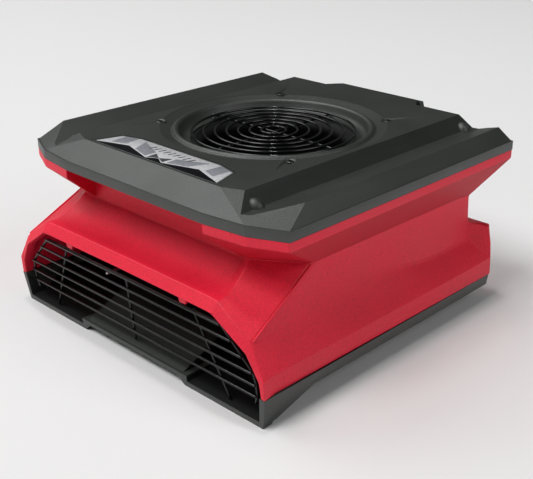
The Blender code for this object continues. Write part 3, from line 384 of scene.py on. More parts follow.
def add_hull(bm, points):
    verts = [bm.verts.new(at(*point)) for point in points]
    result = bmesh.ops.convex_hull(bm, input=verts)
    spare = {v for v in result["geom_interior"] + result["geom_unused"] if isinstance(v, bmesh.types.BMVert)}
    bmesh.ops.delete(bm, geom=list(spare), context="VERTS")
    bmesh.ops.dissolve_limit(bm, angle_limit=0.0005, verts=bm.verts, edges=bm.edges)


def hull(name, points, material=GREY):
    bm = bmesh.new()
    add_hull(bm, points)
    return made(name, bm, material)


def mirrored(points):
    return [(side * x, y, z) for x, y, z in points for side in (1, -1)]


def box(name, low, high):
    size = [(high[i] - low[i]) * MM for i in range(3)]
    middle = at(*[(high[i] + low[i]) / 2 for i in range(3)])
    bm = bmesh.new()
    bmesh.ops.create_cube(bm, size=1.0, matrix=Matrix.Translation(middle) @ Matrix.Diagonal((*size, 1.0)))
    return made(name, bm, GREY)


def push_out(bm, face, shift):
    """Extrude one face by a shift into a solid."""
    result = bmesh.ops.extrude_face_region(bm, geom=[face])
    moved = [v for v in result["geom"] if isinstance(v, bmesh.types.BMVert)]
    bmesh.ops.translate(bm, verts=moved, vec=shift)


def prism(name, outline, axis, low, high, material=GREY):
    """A flat outline extruded along Y or Z. The outline's pairs are the other two axes."""
    def spot(a, b, c):
        return at(a, b, c) if axis == "Z" else at(a, c, b)
    bm = bmesh.new()
    face = bm.faces.new([bm.verts.new(spot(a, b, low)) for a, b in outline])
    first = outline[0]
    push_out(bm, face, spot(*first, high) - spot(*first, low))
    return made(name, bm, material)


def rods(name, spans, radius):
    """Round bars, each given by its two ends."""
    bm = bmesh.new()
    for start, end in spans:
        first = at(*start)
        last = at(*end)
        along = last - first
        turn = along.to_track_quat("Z", "Y").to_matrix().to_4x4()
        bmesh.ops.create_cone(bm, cap_ends=True, segments=32, radius1=radius * MM, radius2=radius * MM,
                              depth=along.length, matrix=Matrix.Translation((first + last) / 2) @ turn)
    return made(name, bm, GREY)


def lathe(name, profile, material=GREY, centre=(0.0, FAN_Y), steps=ROUND_STEPS, closed=True):
    """A profile of (radius, height) points turned round an upright axis through a centre."""
    bm = bmesh.new()
    rows = []
    for index in range(steps):
        angle = math.tau * index / steps
        cosine, sine = math.cos(angle), math.sin(angle)
        rows.append([bm.verts.new(at(centre[0] + radius * cosine, centre[1] + radius * sine, height))
                     for radius, height in profile])
    count = len(profile)
    for index in range(steps):
        here = rows[index]
        there = rows[(index + 1) % steps]
        for low in range(count if closed else count - 1):
            high = (low + 1) % count
            bm.faces.new((here[low], here[high], there[high], there[low]))
    bmesh.ops.remove_doubles(bm, verts=bm.verts, dist=0.000003)
    return smooth(made(name, bm, material))


def curve_through(points, steps=4):
    """Places along a smooth curve that passes through every given point."""
    points = [Vector(point) for point in points]
    padded = [2 * points[0] - points[1]] + points + [2 * points[-1] - points[-2]]
    route = []
    for a, b, c, d in zip(padded, padded[1:], padded[2:], padded[3:]):
        for step in range(steps):
            t = step / steps
            route.append(0.5 * (2 * b + (c - a) * t + (2 * a - 5 * b + 4 * c - d) * t * t
                                + (3 * b - a - 3 * c + d) * t ** 3))
    return route + [points[-1]]


def rounded_route(points, radius, steps=5):
    """A polyline whose corners are turned into short bends."""
    points = [Vector(point) for point in points]
    route = [points[0]]
    for before, corner, after in zip(points, points[1:], points[2:]):
        reach = min(radius, (before - corner).length / 2.2, (after - corner).length / 2.2)
        start = corner + (before - corner).normalized() * reach
        end = corner + (after - corner).normalized() * reach
        for step in range(steps + 1):
            t = step / steps
            route.append(start * (1 - t) ** 2 + corner * (2 * t * (1 - t)) + end * t * t)
    return route + [points[-1]]


def add_tube(bm, route, radius, sides=14, closed=False):
    """Sweep a round section along places in millimetres, with domed ends."""
    spots = [at(*spot) for spot in route]
    count = len(spots)
    rings = []
    across = None
    for index, spot in enumerate(spots):
        before = spots[index - 1] if index or closed else spots[0]
        after = spots[(index + 1) % count] if index < count - 1 or closed else spots[-1]
        along = (after - before).normalized()
        if across is None:
            across = along.orthogonal().normalized()
        across = (across - along * across.dot(along)).normalized()
        other = along.cross(across)
        sections = [(0.0, 1.0)]
        if not closed and index == 0:
            sections = [(-0.5, 0.5), (-0.3, 0.85), (0.0, 1.0)]
        if not closed and index == count - 1:
            sections = [(0.0, 1.0), (0.3, 0.85), (0.5, 0.5)]
        for push, scale in sections:
            middle = spot + along * (push * radius * MM)
            ring = []
            for side in range(sides):
                angle = math.tau * side / sides
                ring.append(bm.verts.new(middle + (across * math.cos(angle) + other * math.sin(angle))
                                         * (radius * scale * MM)))
            rings.append(ring)
    pairs = list(zip(rings, rings[1:]))
    if closed:
        pairs.append((rings[-1], rings[0]))
    for first, second in pairs:
        for side in range(sides):
            following = (side + 1) % sides
            bm.faces.new((first[side], first[following], second[following], second[side]))
    if not closed:
        bm.faces.new(rings[0][::-1])
        bm.faces.new(rings[-1])


def wires(name, routes, radius, material, sides=14):
    bm = bmesh.new()
    for route in routes:
        add_tube(bm, route, radius, sides)
    return smooth(made(name, bm, material), 50.0)


def polar(radius, degrees, z=0.0):
    angle = math.radians(degrees)
    return (radius * math.cos(angle), FAN_Y + radius * math.sin(angle), z)


def settle(obj, body, slot, *nodes):
    """Let a piece ride on a body and stand for CAD nodes; its slot is not used."""
    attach(obj, body)
    if nodes:
        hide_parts(*nodes)
    return obj


def copy_of(node, name, material):
    """A fresh object with a copy of a CAD node's mesh."""
    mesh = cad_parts[node].data.copy()
    mesh.materials.clear()
    mesh.materials.append(material)
    if mesh.has_custom_normals:
        mesh.attributes.remove(mesh.attributes["custom_normal"])
    obj = bpy.data.objects.new(name, mesh)
    bpy.context.scene.collection.objects.link(obj)
    return obj


def refined(node, material, slot, width=0.5, body="housing", segments=2):
    """A CAD node's shape with its edges rounded, shown in place of the node."""
    obj = soften(copy_of(node, node + "_shell", material), width, segments, 25.0)
    settle(obj, body, slot, node)


def repaint(node, material):
    """A better finish on a CAD node that keeps its shape."""
    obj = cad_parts[node]
    obj.data.materials.clear()
    obj.data.materials.append(material)
    smooth(obj, 30.0)


# ---------- cover

def screw_places(z):
    return [polar(SCREW_CIRCLE, degrees, z) for degrees in SCREW_ANGLES]


def screw_rods(name, low, high, radius):
    """Round bars on the axes of the four screws round the inlet."""
    return rods(name, list(zip(screw_places(low), screw_places(high))), radius)


def groove_cutters(sink):
    outline = [(136.0, TOP_Z - sink + 0.7), (153.5, GROOVE_Z - sink), (163.0, GROOVE_Z - sink + 0.5),
               (200.0, RAIL_Z + 0.9 - sink), (200.0, 240.0), (136.0, 240.0)]
    right = prism("groove_right", outline, "Y", -30.0, 460.0)
    left = prism("groove_left", [(-x, z) for x, z in outline], "Y", -30.0, 460.0)
    return right, left


def cover_form(name, inset, low, ledge=0.0):
    """The cover's outer form, or its hollow when inset; a ledge sets the slopes back from the edge band."""
    points = []
    levels = [(COVER_OUTLINE, low, inset + ledge), (COVER_OUTLINE, EDGE_Z - 0.4 * inset, inset + ledge),
              (RAIL, RAIL_Z - inset, inset), (PLATEAU, TOP_Z - inset, 0.6 * inset)]
    for outline, z, pull in levels:
        for x, y in outline:
            rearward = pull if y < 200 else -pull
            points.append((x - pull, y + rearward, z))
    return hull(name, mirrored(points))


def make_cover():
    cover = cut(cover_form("cover_shell", 0.0, COVER_LOW, LEDGE), *groove_cutters(0.0))
    edge = [(x, y, z) for x, y in COVER_OUTLINE for z in (COVER_LOW, EDGE_Z)]
    rear_bump = [(77.5, 400.0, TOP_Z), (62.0, 424.6, TOP_Z), (77.5, 400.0, TOP_Z - 3.4),
                 (62.6, 424.6, TOP_Z - 3.4)]
    join(cover, hull("edge_band", mirrored(edge)))
    join(cover, hull("cover_bump", mirrored(rear_bump)))
    soften(cover, 0.9, 3, 9.0)
    hollow = cut(cover_form("cover_hollow", WALL, COVER_LOW - 20.0), *groove_cutters(WALL))
    cut(cover, hollow)
    opening = lathe("cover_opening", [(DISH_RADIUS - 0.8, 190.0), (DISH_RADIUS - 0.8, 240.0), (1.0, 240.0),
                                      (1.0, 190.0)])
    cut(cover, opening)
    slope = [(DISH_RADIUS, TOP_Z), (127.0, 217.9)]
    bead = [tuple(spot) for spot in curve_through([
        (121.9, 216.1), (120.0, 216.6), (118.6, 218.4), (116.6, 219.5), (114.4, 219.1), (112.6, 217.4),
        (111.2, 213.6), (109.4, 209.4), (106.0, 206.4), (98.6, 205.4)])]
    under = [(98.6, 204.2), (107.0, 204.2), (114.0, 211.5), (121.0, 212.8), (DISH_RADIUS, TOP_Z - WALL)]
    surround = lathe("inlet_surround", slope + bead + under)
    join(cover, surround, screw_rods("cover_pads", 212.0, TOP_Z - 0.1, 8.0))
    holes = screw_rods("cover_holes", 190.0, 240.0, 2.5)
    recess = prism("label_recess", [(x * 1.004, y + (GAP if y > 60.0 else -GAP)) for x, y in LABEL], "Z",
                   TOP_Z - 0.9, TOP_Z + 1.0)
    cut(cover, screw_pockets(), holes, recess)
    join(cover, stacking_stops())
    smooth(cover, 24.0)
    paint_groove_shade(cover)
    settle(cover, "housing", "charcoal_plastic", "top_cover")


def paint_groove_shade(cover):
    """Give the inner slopes of both grooves painted shade: a darker copy of the grey plastic where the rails
    shade them.
    """
    cover.data.materials.append(GROOVE_PAINTED_SHADE)
    for face in cover.data.polygons:
        middle = face.center
        outward = face.normal.x if middle.x > 0.0 else -face.normal.x
        along = at(0, PLAIN_GROOVE[0], 0).y < middle.y < at(0, PLAIN_GROOVE[1], 0).y
        across = INNER_SLOPE[0] * MM < abs(middle.x) < INNER_SLOPE[1] * MM
        if along and across and outward > 0.5 and face.normal.z > 0.4:
            face.material_index = 1


def screw_pockets():
    """Round seats sunk in the plateau, each with a ramp that runs out away from the inlet."""
    bm = bmesh.new()
    for (x, y, _), (tip_x, tip_y) in zip(screw_places(PAD_Z), POCKET_TIPS):
        points = []
        for step in range(32):
            angle = math.tau * step / 32
            for radius, height in ((4.9, PAD_Z), (7.6, TOP_Z + 0.8)):
                points.append((x + radius * math.cos(angle), y + radius * math.sin(angle), height))
        add_hull(bm, points + [(tip_x, tip_y, TOP_Z + 0.05), (tip_x, tip_y, TOP_Z + 0.8)])
    return made("screw_pockets", bm, GREY)


def stacking_stops():
    """Blunt domes near the ends of both grooves, leaning down their inner slopes."""
    bm = bmesh.new()
    for side in (1, -1):
        for y, lean in STOP_PLACES:
            foot = at(side * STOP_FOOT[0], y, STOP_FOOT[1])
            tip = at(side * STOP_TIP[0], y + lean, STOP_TIP[1])
            turn = (tip - foot).to_track_quat("Z", "Y").to_matrix().to_4x4()
            scale = Matrix.Diagonal((STOP_RADIUS * MM, STOP_RADIUS * MM, STOP_REACH * MM, 1.0))
            bmesh.ops.create_uvsphere(bm, u_segments=40, v_segments=24, radius=1.0,
                                      matrix=Matrix.Translation(foot) @ turn @ scale)
    return made("stacking_stops", bm, GREY)


# ---------- body

SWEEP = 12
SIDE_COLUMNS = 18  # columns of the side wall, from the rim to the waist's rear end
WAIST_FRONT = 94.0  # y of the waist's front and rear ends, and its half widths there
WAIST_REAR = 345.0
HALF_FRONT = 184.0
HALF_REAR = 187.0
CORNER_Y = 367.0  # where the rear corner's wall starts
RIM_OUTER = [(0.0, -2.0, 123.4), (134.0, -1.4, 122.2), (146.4, -2.2, 121.8), (192.4, -2.0, 91.0),
             (198.8, -2.9, 79.8), (205.1, -3.7, 68.7), (211.5, -4.6, CREASE_Z), (211.7, -3.6, TRAY_Z + GAP)]
RIM_INNER = [(0.0, -9.6, 110.6), (134.0, -10.2, 110.2), (145.2, MOUTH_FRONT, 109.8), (189.0, -6.8, 80.6),
             (194.1, -6.1, 71.9), (199.3, -5.5, 63.2), (204.4, -4.8, 54.5), (205.6, -3.0, TRAY_Z + GAP)]
REAR_WALL = [(0.0, WAIST_Z), (0.0, 111.0), (0.3, 98.0), (1.0, 83.0), (8.0, 74.0), (15.0, 65.5)]


def rear_wall(share):
    """The side wall near the rear, as how far out and how high at a share of the way down."""
    place = share * (len(REAR_WALL) - 1)
    index = min(int(place), len(REAR_WALL) - 2)
    t = place - index
    (out_a, z_a), (out_b, z_b) = REAR_WALL[index], REAR_WALL[index + 1]
    return out_a + (out_b - out_a) * t, z_a + (z_b - z_a) * t


def sagging(start, end, sag):
    places = []
    for step in range(1, SWEEP):
        along = step / SWEEP
        drop = 4.0 * sag * along * (1.0 - along)
        places.append(start.lerp(end, along) - Vector((0.0, 0.0, drop)))
    return places


SIDE_STEPS = [step / (2 * SWEEP) for step in range(1, SWEEP + 1)] + [2 / 3, 5 / 6]


def side_column(y):
    rearward = (y - RIM_OUTER[-2][1]) / (WAIST_REAR - RIM_OUTER[-2][1])
    waist_y = WAIST_FRONT + (WAIST_REAR - WAIST_FRONT) * rearward
    waist_x = HALF_FRONT + (HALF_REAR - HALF_FRONT) * rearward
    waist = Vector((waist_x, waist_y, WAIST_Z))
    low = Vector((BODY_HALF_WIDTH, y, CREASE_Z))
    pull = Vector((waist_x, (waist_y + y) / 2, 84.0))
    blend = min(1.0, max(0.0, (y - 100.0) / 200.0))
    blend = blend * blend * (3.0 - 2.0 * blend)
    places = []
    for index, step in enumerate(SIDE_STEPS):
        out, z = rear_wall((index + 1) / len(SIDE_STEPS))
        curve = waist * (1 - step) ** 2 + pull * (2 * step * (1 - step)) + low * step ** 2
        wall = Vector((HALF_REAR + out, waist_y + (y - waist_y) * step, z))
        places.append(curve.lerp(wall, blend))
    top_y = max(y, COVER_OUTLINE[2][1])
    band = [Vector((HALF_WIDTH, top_y, SPLIT_Z)), Vector((HALF_WIDTH, top_y, BAND_Z))]
    return band + [waist] + places + [low, Vector((BODY_HALF_WIDTH, y, TRAY_Z + GAP))]


def body_columns():
    recess_y = 54.2
    waist_front = [(0.0, recess_y, WAIST_Z), (124.2, recess_y, WAIST_Z), (124.2, recess_y, WAIST_Z),
                   (138.6, 48.9, 147.6)]
    upper = [(0.0, recess_y), (124.2, recess_y), COVER_OUTLINE[0], COVER_OUTLINE[1]]
    rims = [RIM_OUTER[0], RIM_OUTER[1], RIM_OUTER[1], RIM_OUTER[2]]
    columns = []
    for (x, y), waist, rim, sag in zip(upper, waist_front, rims, (9.0, 9.0, 9.0, 8.0)):
        column = [Vector((x, y, SPLIT_Z)), Vector((x, y, BAND_Z)), Vector(waist)]
        columns.append(column + sagging(Vector(waist), Vector(rim), sag) + [Vector(rim)])
    x, y = COVER_OUTLINE[2]
    waist = Vector((HALF_FRONT, WAIST_FRONT, WAIST_Z))
    shoulder = Vector(RIM_OUTER[3])
    columns.append([Vector((x, y, SPLIT_Z)), Vector((x, y, BAND_Z)), waist] + sagging(waist, shoulder, 0.0)
                   + [shoulder] + [Vector(spot) for spot in RIM_OUTER[4:]])
    rim_y = RIM_OUTER[-2][1]
    for step in range(1, SIDE_COLUMNS + 1):
        columns.append(side_column(rim_y + (WAIST_REAR - rim_y) * step / SIDE_COLUMNS))
    return columns + rear_columns()


def rear_columns():
    foot = TRAY_Z + GAP
    corner = [(HALF_WIDTH, COVER_REAR, SPLIT_Z), (HALF_WIDTH, COVER_REAR, BAND_Z),
              (HALF_REAR, CORNER_Y, 140.0)]
    inset = []
    for index in range(len(SIDE_STEPS)):
        out, z = rear_wall((index + 1) / len(SIDE_STEPS))
        y = CORNER_Y + max(0.0, 136.0 - z) / 15.0 + 0.76 * max(0.0, out - 1.0)
        inset.append((HALF_REAR + out, y, z))
    kept = sum(1 for spot in inset if spot[2] > 104.0)
    steps = len(SIDE_STEPS) - kept
    wall = corner + inset + [(BODY_HALF_WIDTH, 388.0, CREASE_Z + 1.5), (BODY_HALF_WIDTH, 390.0, foot)]
    side = [Vector((205.5, 387.0, 99.0)), Vector((208.0, 390.0, 78.0)), Vector((208.6, 391.0, 67.0))]
    face = [Vector((x, REAR_FACE, z)) for x, z in ((200.0, 99.0), (203.0, 78.0), (203.0, 67.0))]
    block_rows = [tuple(along_three(side, index / (steps - 1))) for index in range(steps)]
    face_rows = [tuple(along_three(face, index / (steps - 1))) for index in range(steps)]
    block = corner + inset[:kept] + block_rows + [(BODY_HALF_WIDTH, 391.5, CREASE_Z + 1.5),
                                                  (BODY_HALF_WIDTH, 393.0, foot)]
    back = corner + inset[:kept] + face_rows + [(203.0, REAR_FACE, CREASE_Z + 1.5), (203.0, REAR_FACE, foot)]
    centre = [(0.0, y, z) for _, y, z in back]
    return [[Vector(spot) for spot in column] for column in (wall, block, back, centre)]


def along_three(points, share):
    place = share * 2
    index = min(int(place), 1)
    return points[index].lerp(points[index + 1], place - index)


def add_strip(bm, first, second):
    for (a, b), (c, d) in zip(zip(first, first[1:]), zip(second, second[1:])):
        corners = []
        for spot in (a, b, d, c):
            if not any((spot - other).length < 0.01 for other in corners):
                corners.append(spot)
        if len(corners) > 2:
            bm.faces.new([bm.verts.new(at(*spot)) for spot in corners])


def on_crease(vert):
    """Whether a corner lies on the line from the side's waist down to the rim's shoulder."""
    start = at(HALF_FRONT, WAIST_FRONT, WAIST_Z)
    end = at(*RIM_OUTER[3])
    along = (end - start).normalized()
    offset = vert.co - start
    reach = offset.dot(along)
    beside = (offset - along * reach).length < 0.05 * MM
    return beside and -MM < reach < (end - start).length + MM


def make_body():
    bm = bmesh.new()
    columns = body_columns()
    for first, second in zip(columns, columns[1:]):
        count = min(len(first), len(second))
        add_strip(bm, first[:count], second[:count])
    outer = [Vector(spot) for spot in RIM_OUTER]
    inner = [Vector(spot) for spot in RIM_INNER]
    back = [Vector((x, y + 13.0, z)) for x, y, z in RIM_INNER]
    add_strip(bm, outer, inner)
    add_strip(bm, inner, back)
    bmesh.ops.remove_doubles(bm, verts=bm.verts, dist=0.00002)
    bmesh.ops.recalc_face_normals(bm, faces=bm.faces)
    crease = [e for e in bm.edges if on_crease(e.verts[0]) and on_crease(e.verts[1])]
    bmesh.ops.bevel(bm, geom=crease, offset=3.0 * MM, segments=1, profile=0.5, affect="EDGES",
                    clamp_overlap=True)
    body = made("body_shell", bm, RED)
    mirror = body.modifiers.new("mirror", "MIRROR")
    mirror.merge_threshold = 0.00005
    bake(body)
    rounding = body.modifiers.new("rounding", "BEVEL")
    rounding.width = 1.2 * MM
    rounding.segments = 2
    rounding.limit_method = "ANGLE"
    rounding.angle_limit = math.radians(16.0)
    shell = body.modifiers.new("shell", "SOLIDIFY")
    shell.thickness = SKIN * MM
    shell.offset = -1.0
    shell.use_even_offset = True
    bake(body)
    holes = rods("panel_holes", [((x, 385.0, z), (x, 405.0, z)) for x, z in PANEL_SCREWS], 1.9)
    cut(body, box("panel_opening", (-108.0, 385.0, 49.0), (108.0, 402.0, 89.0)), holes)
    ribs = bmesh.new()
    for side in (1, -1):
        start = Vector((side * HALF_FRONT, WAIST_FRONT, WAIST_Z))
        end = Vector((side * RIM_OUTER[3][0], RIM_OUTER[3][1], RIM_OUTER[3][2]))
        add_tube(ribs, [start.lerp(end, share) for share in (0.03, 0.5, 0.97)], 1.1, 10)
    join(body, grille_tabs(), smooth(made("crease_ribs", ribs, RED)))
    smooth(body, 12.0)
    # Downward faces high on the body take the red's painted shade.
    body.data.materials.append(RED_PAINTED_SHADE)
    for face in body.data.polygons:
        if face.normal.z < -0.3 and face.center.z > at(0, 0, 140).z:
            face.material_index = 1
    settle(body, "housing", "red_plastic", "upper_body")


def grille_tabs():
    """Two small tapered tabs under the rim's inner edge that keep the outlet grille in."""
    outline = [(91.0, 111.6), (93.2, 103.4), (102.8, 103.4), (105.0, 111.6)]
    tabs = prism("grille_tabs", outline, "Y", -6.6, -3.4, RED)
    join(tabs, prism("grille_tab_left", [(-x, z) for x, z in outline], "Y", -6.6, -3.4, RED))
    return soften(tabs, 0.6, 2)


# ---------- tray

INNER_HALF_WIDTH = 203.0  # inside of the tray's side walls
RAMP_HALF_WIDTH = 84.0  # half width of the ramp between the two side channels


def make_tray():
    tray = copy_of("base_tray", "tray_shell", GREY)
    soften(tray, 0.9, 2, 20.0)
    tray.data.materials.append(TRAY_PAINTED_SHADE)
    tray.data.materials.append(CHANNEL_PAINTED_SHADE)
    # Faces inside the tray take painted shade: a darker copy of the grey on the ramp, and a darker one still
    # in the side channels.
    floor_level = 4.0 * MM
    for face in tray.data.polygons:
        middle = face.center
        inside = abs(middle.x) < INNER_HALF_WIDTH * MM and middle.z > floor_level and face.normal.z > -0.5
        if inside and at(0, 3, 0).y < middle.y < at(0, 385, 0).y:
            face.material_index = 1 if abs(middle.x) < RAMP_HALF_WIDTH * MM else 2
    settle(tray, "housing", "charcoal_plastic", "base_tray")


# ---------- grilles

def mouth_plane_y(z):
    return 5.4 - 0.1 * z


def make_outlet_grille():
    rows = [(193.5, 31.0), (193.7, 44.2), (190.6, 57.6), (177.4, 71.0), (163.9, 84.4), (150.2, 97.8)]
    bars = [[(-half, mouth_plane_y(z), z), (half, mouth_plane_y(z), z)] for half, z in rows]
    corners = [(190.0, 21.0), (193.6, 31.0), (193.7, 44.2), (190.6, 57.6), (150.0, 98.0)]
    frame_route = [(-x, mouth_plane_y(z) + 2.4, z) for x, z in corners]
    frame_route += [(x, mouth_plane_y(z) + 2.4, z) for x, z in reversed(corners)]
    uprights = []
    for top, bottom in ((-110.0, -152.0), (0.0, 0.0), (110.0, 152.0)):
        end_z = 19.0 if top == 0.0 else 8.5
        uprights.append([(top, mouth_plane_y(99.5) + 2.4, 99.5), (bottom, mouth_plane_y(end_z) + 2.4, end_z)])
    grille = wires("outlet_wires", bars + uprights + [rounded_route(frame_route, 6.0)], WIRE, WIRE_PAINT)
    settle(grille, "housing", "black_wire", "outlet_grille")


def make_grille_stay():
    """A bare bent rod from the duct's roof that the middle of the outlet grille rests against."""
    route = rounded_route([(-40.0, 23.0, 119.4), (-40.0, 23.0, 88.5), (-40.0, 1.5, 88.5)], 5.0)
    settle(wires("stay_rod", [route], 1.8, ZINC, 18), "housing", "zinc", "grille_stay")


def make_inlet_guard():
    bm = bmesh.new()
    for index in range(RINGS):
        radius = GUARD_RADIUS - index * RING_STEP
        steps = max(48, int(radius * 1.5))
        route = [polar(radius, 360.0 * step / steps, GUARD_Z) for step in range(steps)]
        add_tube(bm, route, WIRE, closed=True)
    for degrees, z in ((0.0, GUARD_Z - 2.2), (90.0, GUARD_Z - 2.6)):
        add_tube(bm, [polar(GUARD_RADIUS + 1.0, degrees, z), polar(-GUARD_RADIUS - 1.0, degrees, z)], WIRE)
    guard = smooth(made("guard_wires", bm, GUARD_PAINT), 50.0)
    settle(guard, "housing", "black_wire", "inlet_guard")


# ---------- fan and duct

def make_inlet_ring():
    inner = [tuple(spot) for spot in curve_through([
        (146.0, 203.8), (98.0, 203.8), (93.0, 203.2), (88.0, 199.5), (85.2, 194.0), (84.6, 188.0),
        (84.6, 182.0)])]
    outer = [(87.0, 182.0), (87.0, 190.0), (90.0, 196.0), (98.0, 200.8), (146.0, 200.8)]
    # The bell carries painted shade that darkens with depth.
    bell = lathe("inlet_bell", inner + outer, BELL_PAINTED_SHADE)
    join(bell, screw_rods("ring_bosses", 202.8, 211.7, 5.0))
    cut(bell, screw_rods("ring_holes", 190.0, 230.0, 2.3))
    smooth(bell)
    settle(bell, "housing", "charcoal_plastic", "inlet_ring")


def make_wheel():
    bm = bmesh.new()
    for index in range(BLADES):
        add_blade(bm, index * 360.0 / BLADES)
    blades = made("wheel_blades", bm, DUCT_SHADE_BLACK)
    rim = WHEEL_RADIUS - 0.6
    envelope = lathe("blade_envelope", [(rim, 163.6), (rim, 110.0), (60.0, 110.0), (60.0, 181.0),
                                        (90.0, 178.6)])
    combine(blades, "INTERSECT", envelope)
    top = DISC_Z + 3.0
    disc = lathe("wheel", [(50.5, DISC_Z), (50.5, top), (WHEEL_RADIUS, top), (WHEEL_RADIUS, DISC_Z)], DUCT_SHADE_BLACK)
    ring = lathe("wheel_ring", [(WHEEL_RADIUS, 165.2), (EYE_RADIUS + 2.4, 178.6), (EYE_RADIUS + 2.4, 181.0),
                                (EYE_RADIUS, 181.0), (EYE_RADIUS, 176.6), (WHEEL_RADIUS, 162.6)], DUCT_SHADE_BLACK)
    join(disc, blades, ring)
    smooth(disc, 30.0)
    settle(disc, "impeller_rotor", "black_plastic", "impeller")


def add_blade(bm, degrees):
    """A backward-curved blade, extruded upwards from the wheel's disc."""
    inner, outer, thickness, steps = 66.0, WHEEL_RADIUS - 1.0, 3.0, 14
    front = []
    back = []
    for step in range(steps + 1):
        share = step / steps
        radius = inner + (outer - inner) * share
        sweep = degrees - 46.0 * share ** 1.15
        half = math.degrees(thickness / 2 / radius)
        front.append(polar(radius, sweep + half, 110.5))
        back.append(polar(radius, sweep - half, 110.5))
    face = bm.faces.new([bm.verts.new(at(*spot)) for spot in front + back[::-1]])
    push_out(bm, face, (0.0, 0.0, 80.0 * MM))


def make_motor():
    """The motor, with vent slots through the turning can's top."""
    profile = [(4.3, 152.0), (40.0, 152.0), (46.0, 151.2), (49.2, 149.0), (50.0, 146.0), (50.0, 108.6),
               (58.0, 108.6), (58.0, 105.6), (50.0, 105.6), (50.0, 98.6), (46.6, 98.6), (46.6, 148.0),
               (4.3, 148.0)]
    can = lathe("motor_can", profile, MOTOR_PAINT, steps=96)
    vents = bmesh.new()
    for index in range(12):
        add_tube(vents, [polar(22.0, index * 30.0, 150.0), polar(38.0, index * 30.0, 150.0)], 2.6, 16)
    cut(can, made("can_vents", vents, MOTOR_PAINT))
    smooth(can, 28.0)
    settle(can, "impeller_rotor", "motor_black", "rotor_can")
    for node in ("stator_carrier", "bearing_lower", "bearing_upper", "motor_shaft"):
        repaint(node, CAST if node == "stator_carrier" else STEEL)
    repaint("stator_core", CORE)
    repaint("stator_winding_upper", COPPER)
    repaint("stator_winding_lower", COPPER)
    refined("motor_pedestal", BLACK, slot="black_plastic")
    refined("scroll_housing", DUCT_SHADE_BLACK, slot="black_plastic", width=0.8)


# ---------- screws

def make_screw(node, seat, head=4.4, height=1.8, shank=2.0, length=20.0, outward=(0, 0, 1), material=ZINC):
    """A pan-head screw with a domed head, a cross recess and a threaded shank."""
    profile = [(head, 0.0), (head, height * 0.35)]
    for step in range(1, 7):
        angle = math.radians(90.0 * step / 6)
        profile.append((head * (0.42 + 0.58 * math.cos(angle)), height * (0.35 + 0.65 * math.sin(angle))))
    profile.append((0.0, height))
    under = [(0.0, -length), (shank * 0.3, -length), (shank * 0.8, -length + 1.5)]
    pitch = 1.4
    turns = int((length - 2.5) / pitch)
    for turn in range(turns):
        z = -length + 1.5 + turn * pitch
        under += [(shank * 0.8, z + pitch * 0.35), (shank, z + pitch * 0.55), (shank * 0.8, z + pitch * 0.75)]
    under += [(shank * 0.8, -0.8), (shank, 0.0)]
    screw = lathe(node + "_bolt", (under + profile)[::-1], material, (0.0, CENTRE_Y), 40, closed=False)
    arm = head * 0.55
    bar = box("cross_bar", (-arm, CENTRE_Y - 0.45, height * 0.3), (arm, CENTRE_Y + 0.45, height + 1))
    other = box("cross_bar_2", (-0.45, CENTRE_Y - arm, height * 0.3), (0.45, CENTRE_Y + arm, height + 1))
    cut(screw, bar, other)
    smooth(screw, 35.0)
    turn = Vector(outward).to_track_quat("Z", "Y").to_matrix().to_4x4()
    angle = 17.0 + 31.0 * sum(ord(letter) for letter in node[-2:])
    screw.data.transform(Matrix.Translation(at(*seat)) @ turn @ Matrix.Rotation(math.radians(angle), 4, "Z"))
    settle(screw, "housing", "steel", node)


def make_screws():
    posts = [(150.0, 150.0), (-150.0, 150.0), (112.0, 322.0), (-112.0, 322.0)]
    for index, seat in enumerate(screw_places(PAD_Z + GAP), 1):
        make_screw("cover_screw_%d" % index, seat, material=DARK_STEEL)
    for index, (x, y) in enumerate(posts, 1):
        make_screw("tray_screw_%d" % index, (x, y, 22.2), 4.6, 2.6, 2.2, 44.0, (0, 0, -1))
    for index, degrees in enumerate(CORNERS, 1):
        make_screw("motor_screw_%d" % index, polar(36.5, degrees, 95.3), 3.6, 2.2, 1.9, 9.0)
    for index, (x, z) in enumerate(PANEL_SCREWS, 1):
        make_screw("panel_screw_%d" % index, (x, 399.6, z), 3.4, 2.0, 1.6, 9.0, (0, 1, 0))


# ---------- controls

CONTROLS = [  # node, finish, slot, rounding, and the body of a moving one
    ("control_panel", PANEL_PAINT, "panel_grey", 0.6),
    ("switch_housing", BLACK, "black_plastic", 0.6),
    ("speed_switch", BUTTON_RED, "signal_red", 0.8, "speed_rocker"),
    ("receptacle", IVORY, "ivory"),
    ("test_button", BLACK, "black_plastic", 0.6, "test_key"),
    ("reset_button", BUTTON_RED, "signal_red", 0.6, "reset_key"),
    ("hour_meter", BLACK, "black_plastic", 0.6),
    ("hour_meter_lens", LCD, "lens", 0.2),
    ("circuit_breaker", BLACK, "black_plastic", 0.4),
    ("breaker_button", AMBER, "signal_amber", 0.6, "breaker_key"),
    ("cord_gland", BLACK, "black_plastic", 0.4),
    ("run_capacitor", CAST, "aluminium", 1.2),
    ("capacitor_strap", ZINC, "zinc", 0.3),
    ("terminal_box", PANEL_PAINT, "panel_grey", 1.0),
    ("rear_handle", GREY, "charcoal_plastic", 0.6),
]


def make_controls():
    for row in CONTROLS:
        refined(*row)
    for side in ("left", "right"):
        refined("rear_foot_" + side, RUBBER, "rubber", 1.2, segments=3)
    for index in range(1, 5):
        refined("guard_clip_%d" % index, ZINC, "zinc", 0.3)


# ---------- badge

def flat_piece(name, outline, low, high, material):
    piece = prism(name, outline, "Z", low, high, material)
    return soften(piece, 0.08, 2)


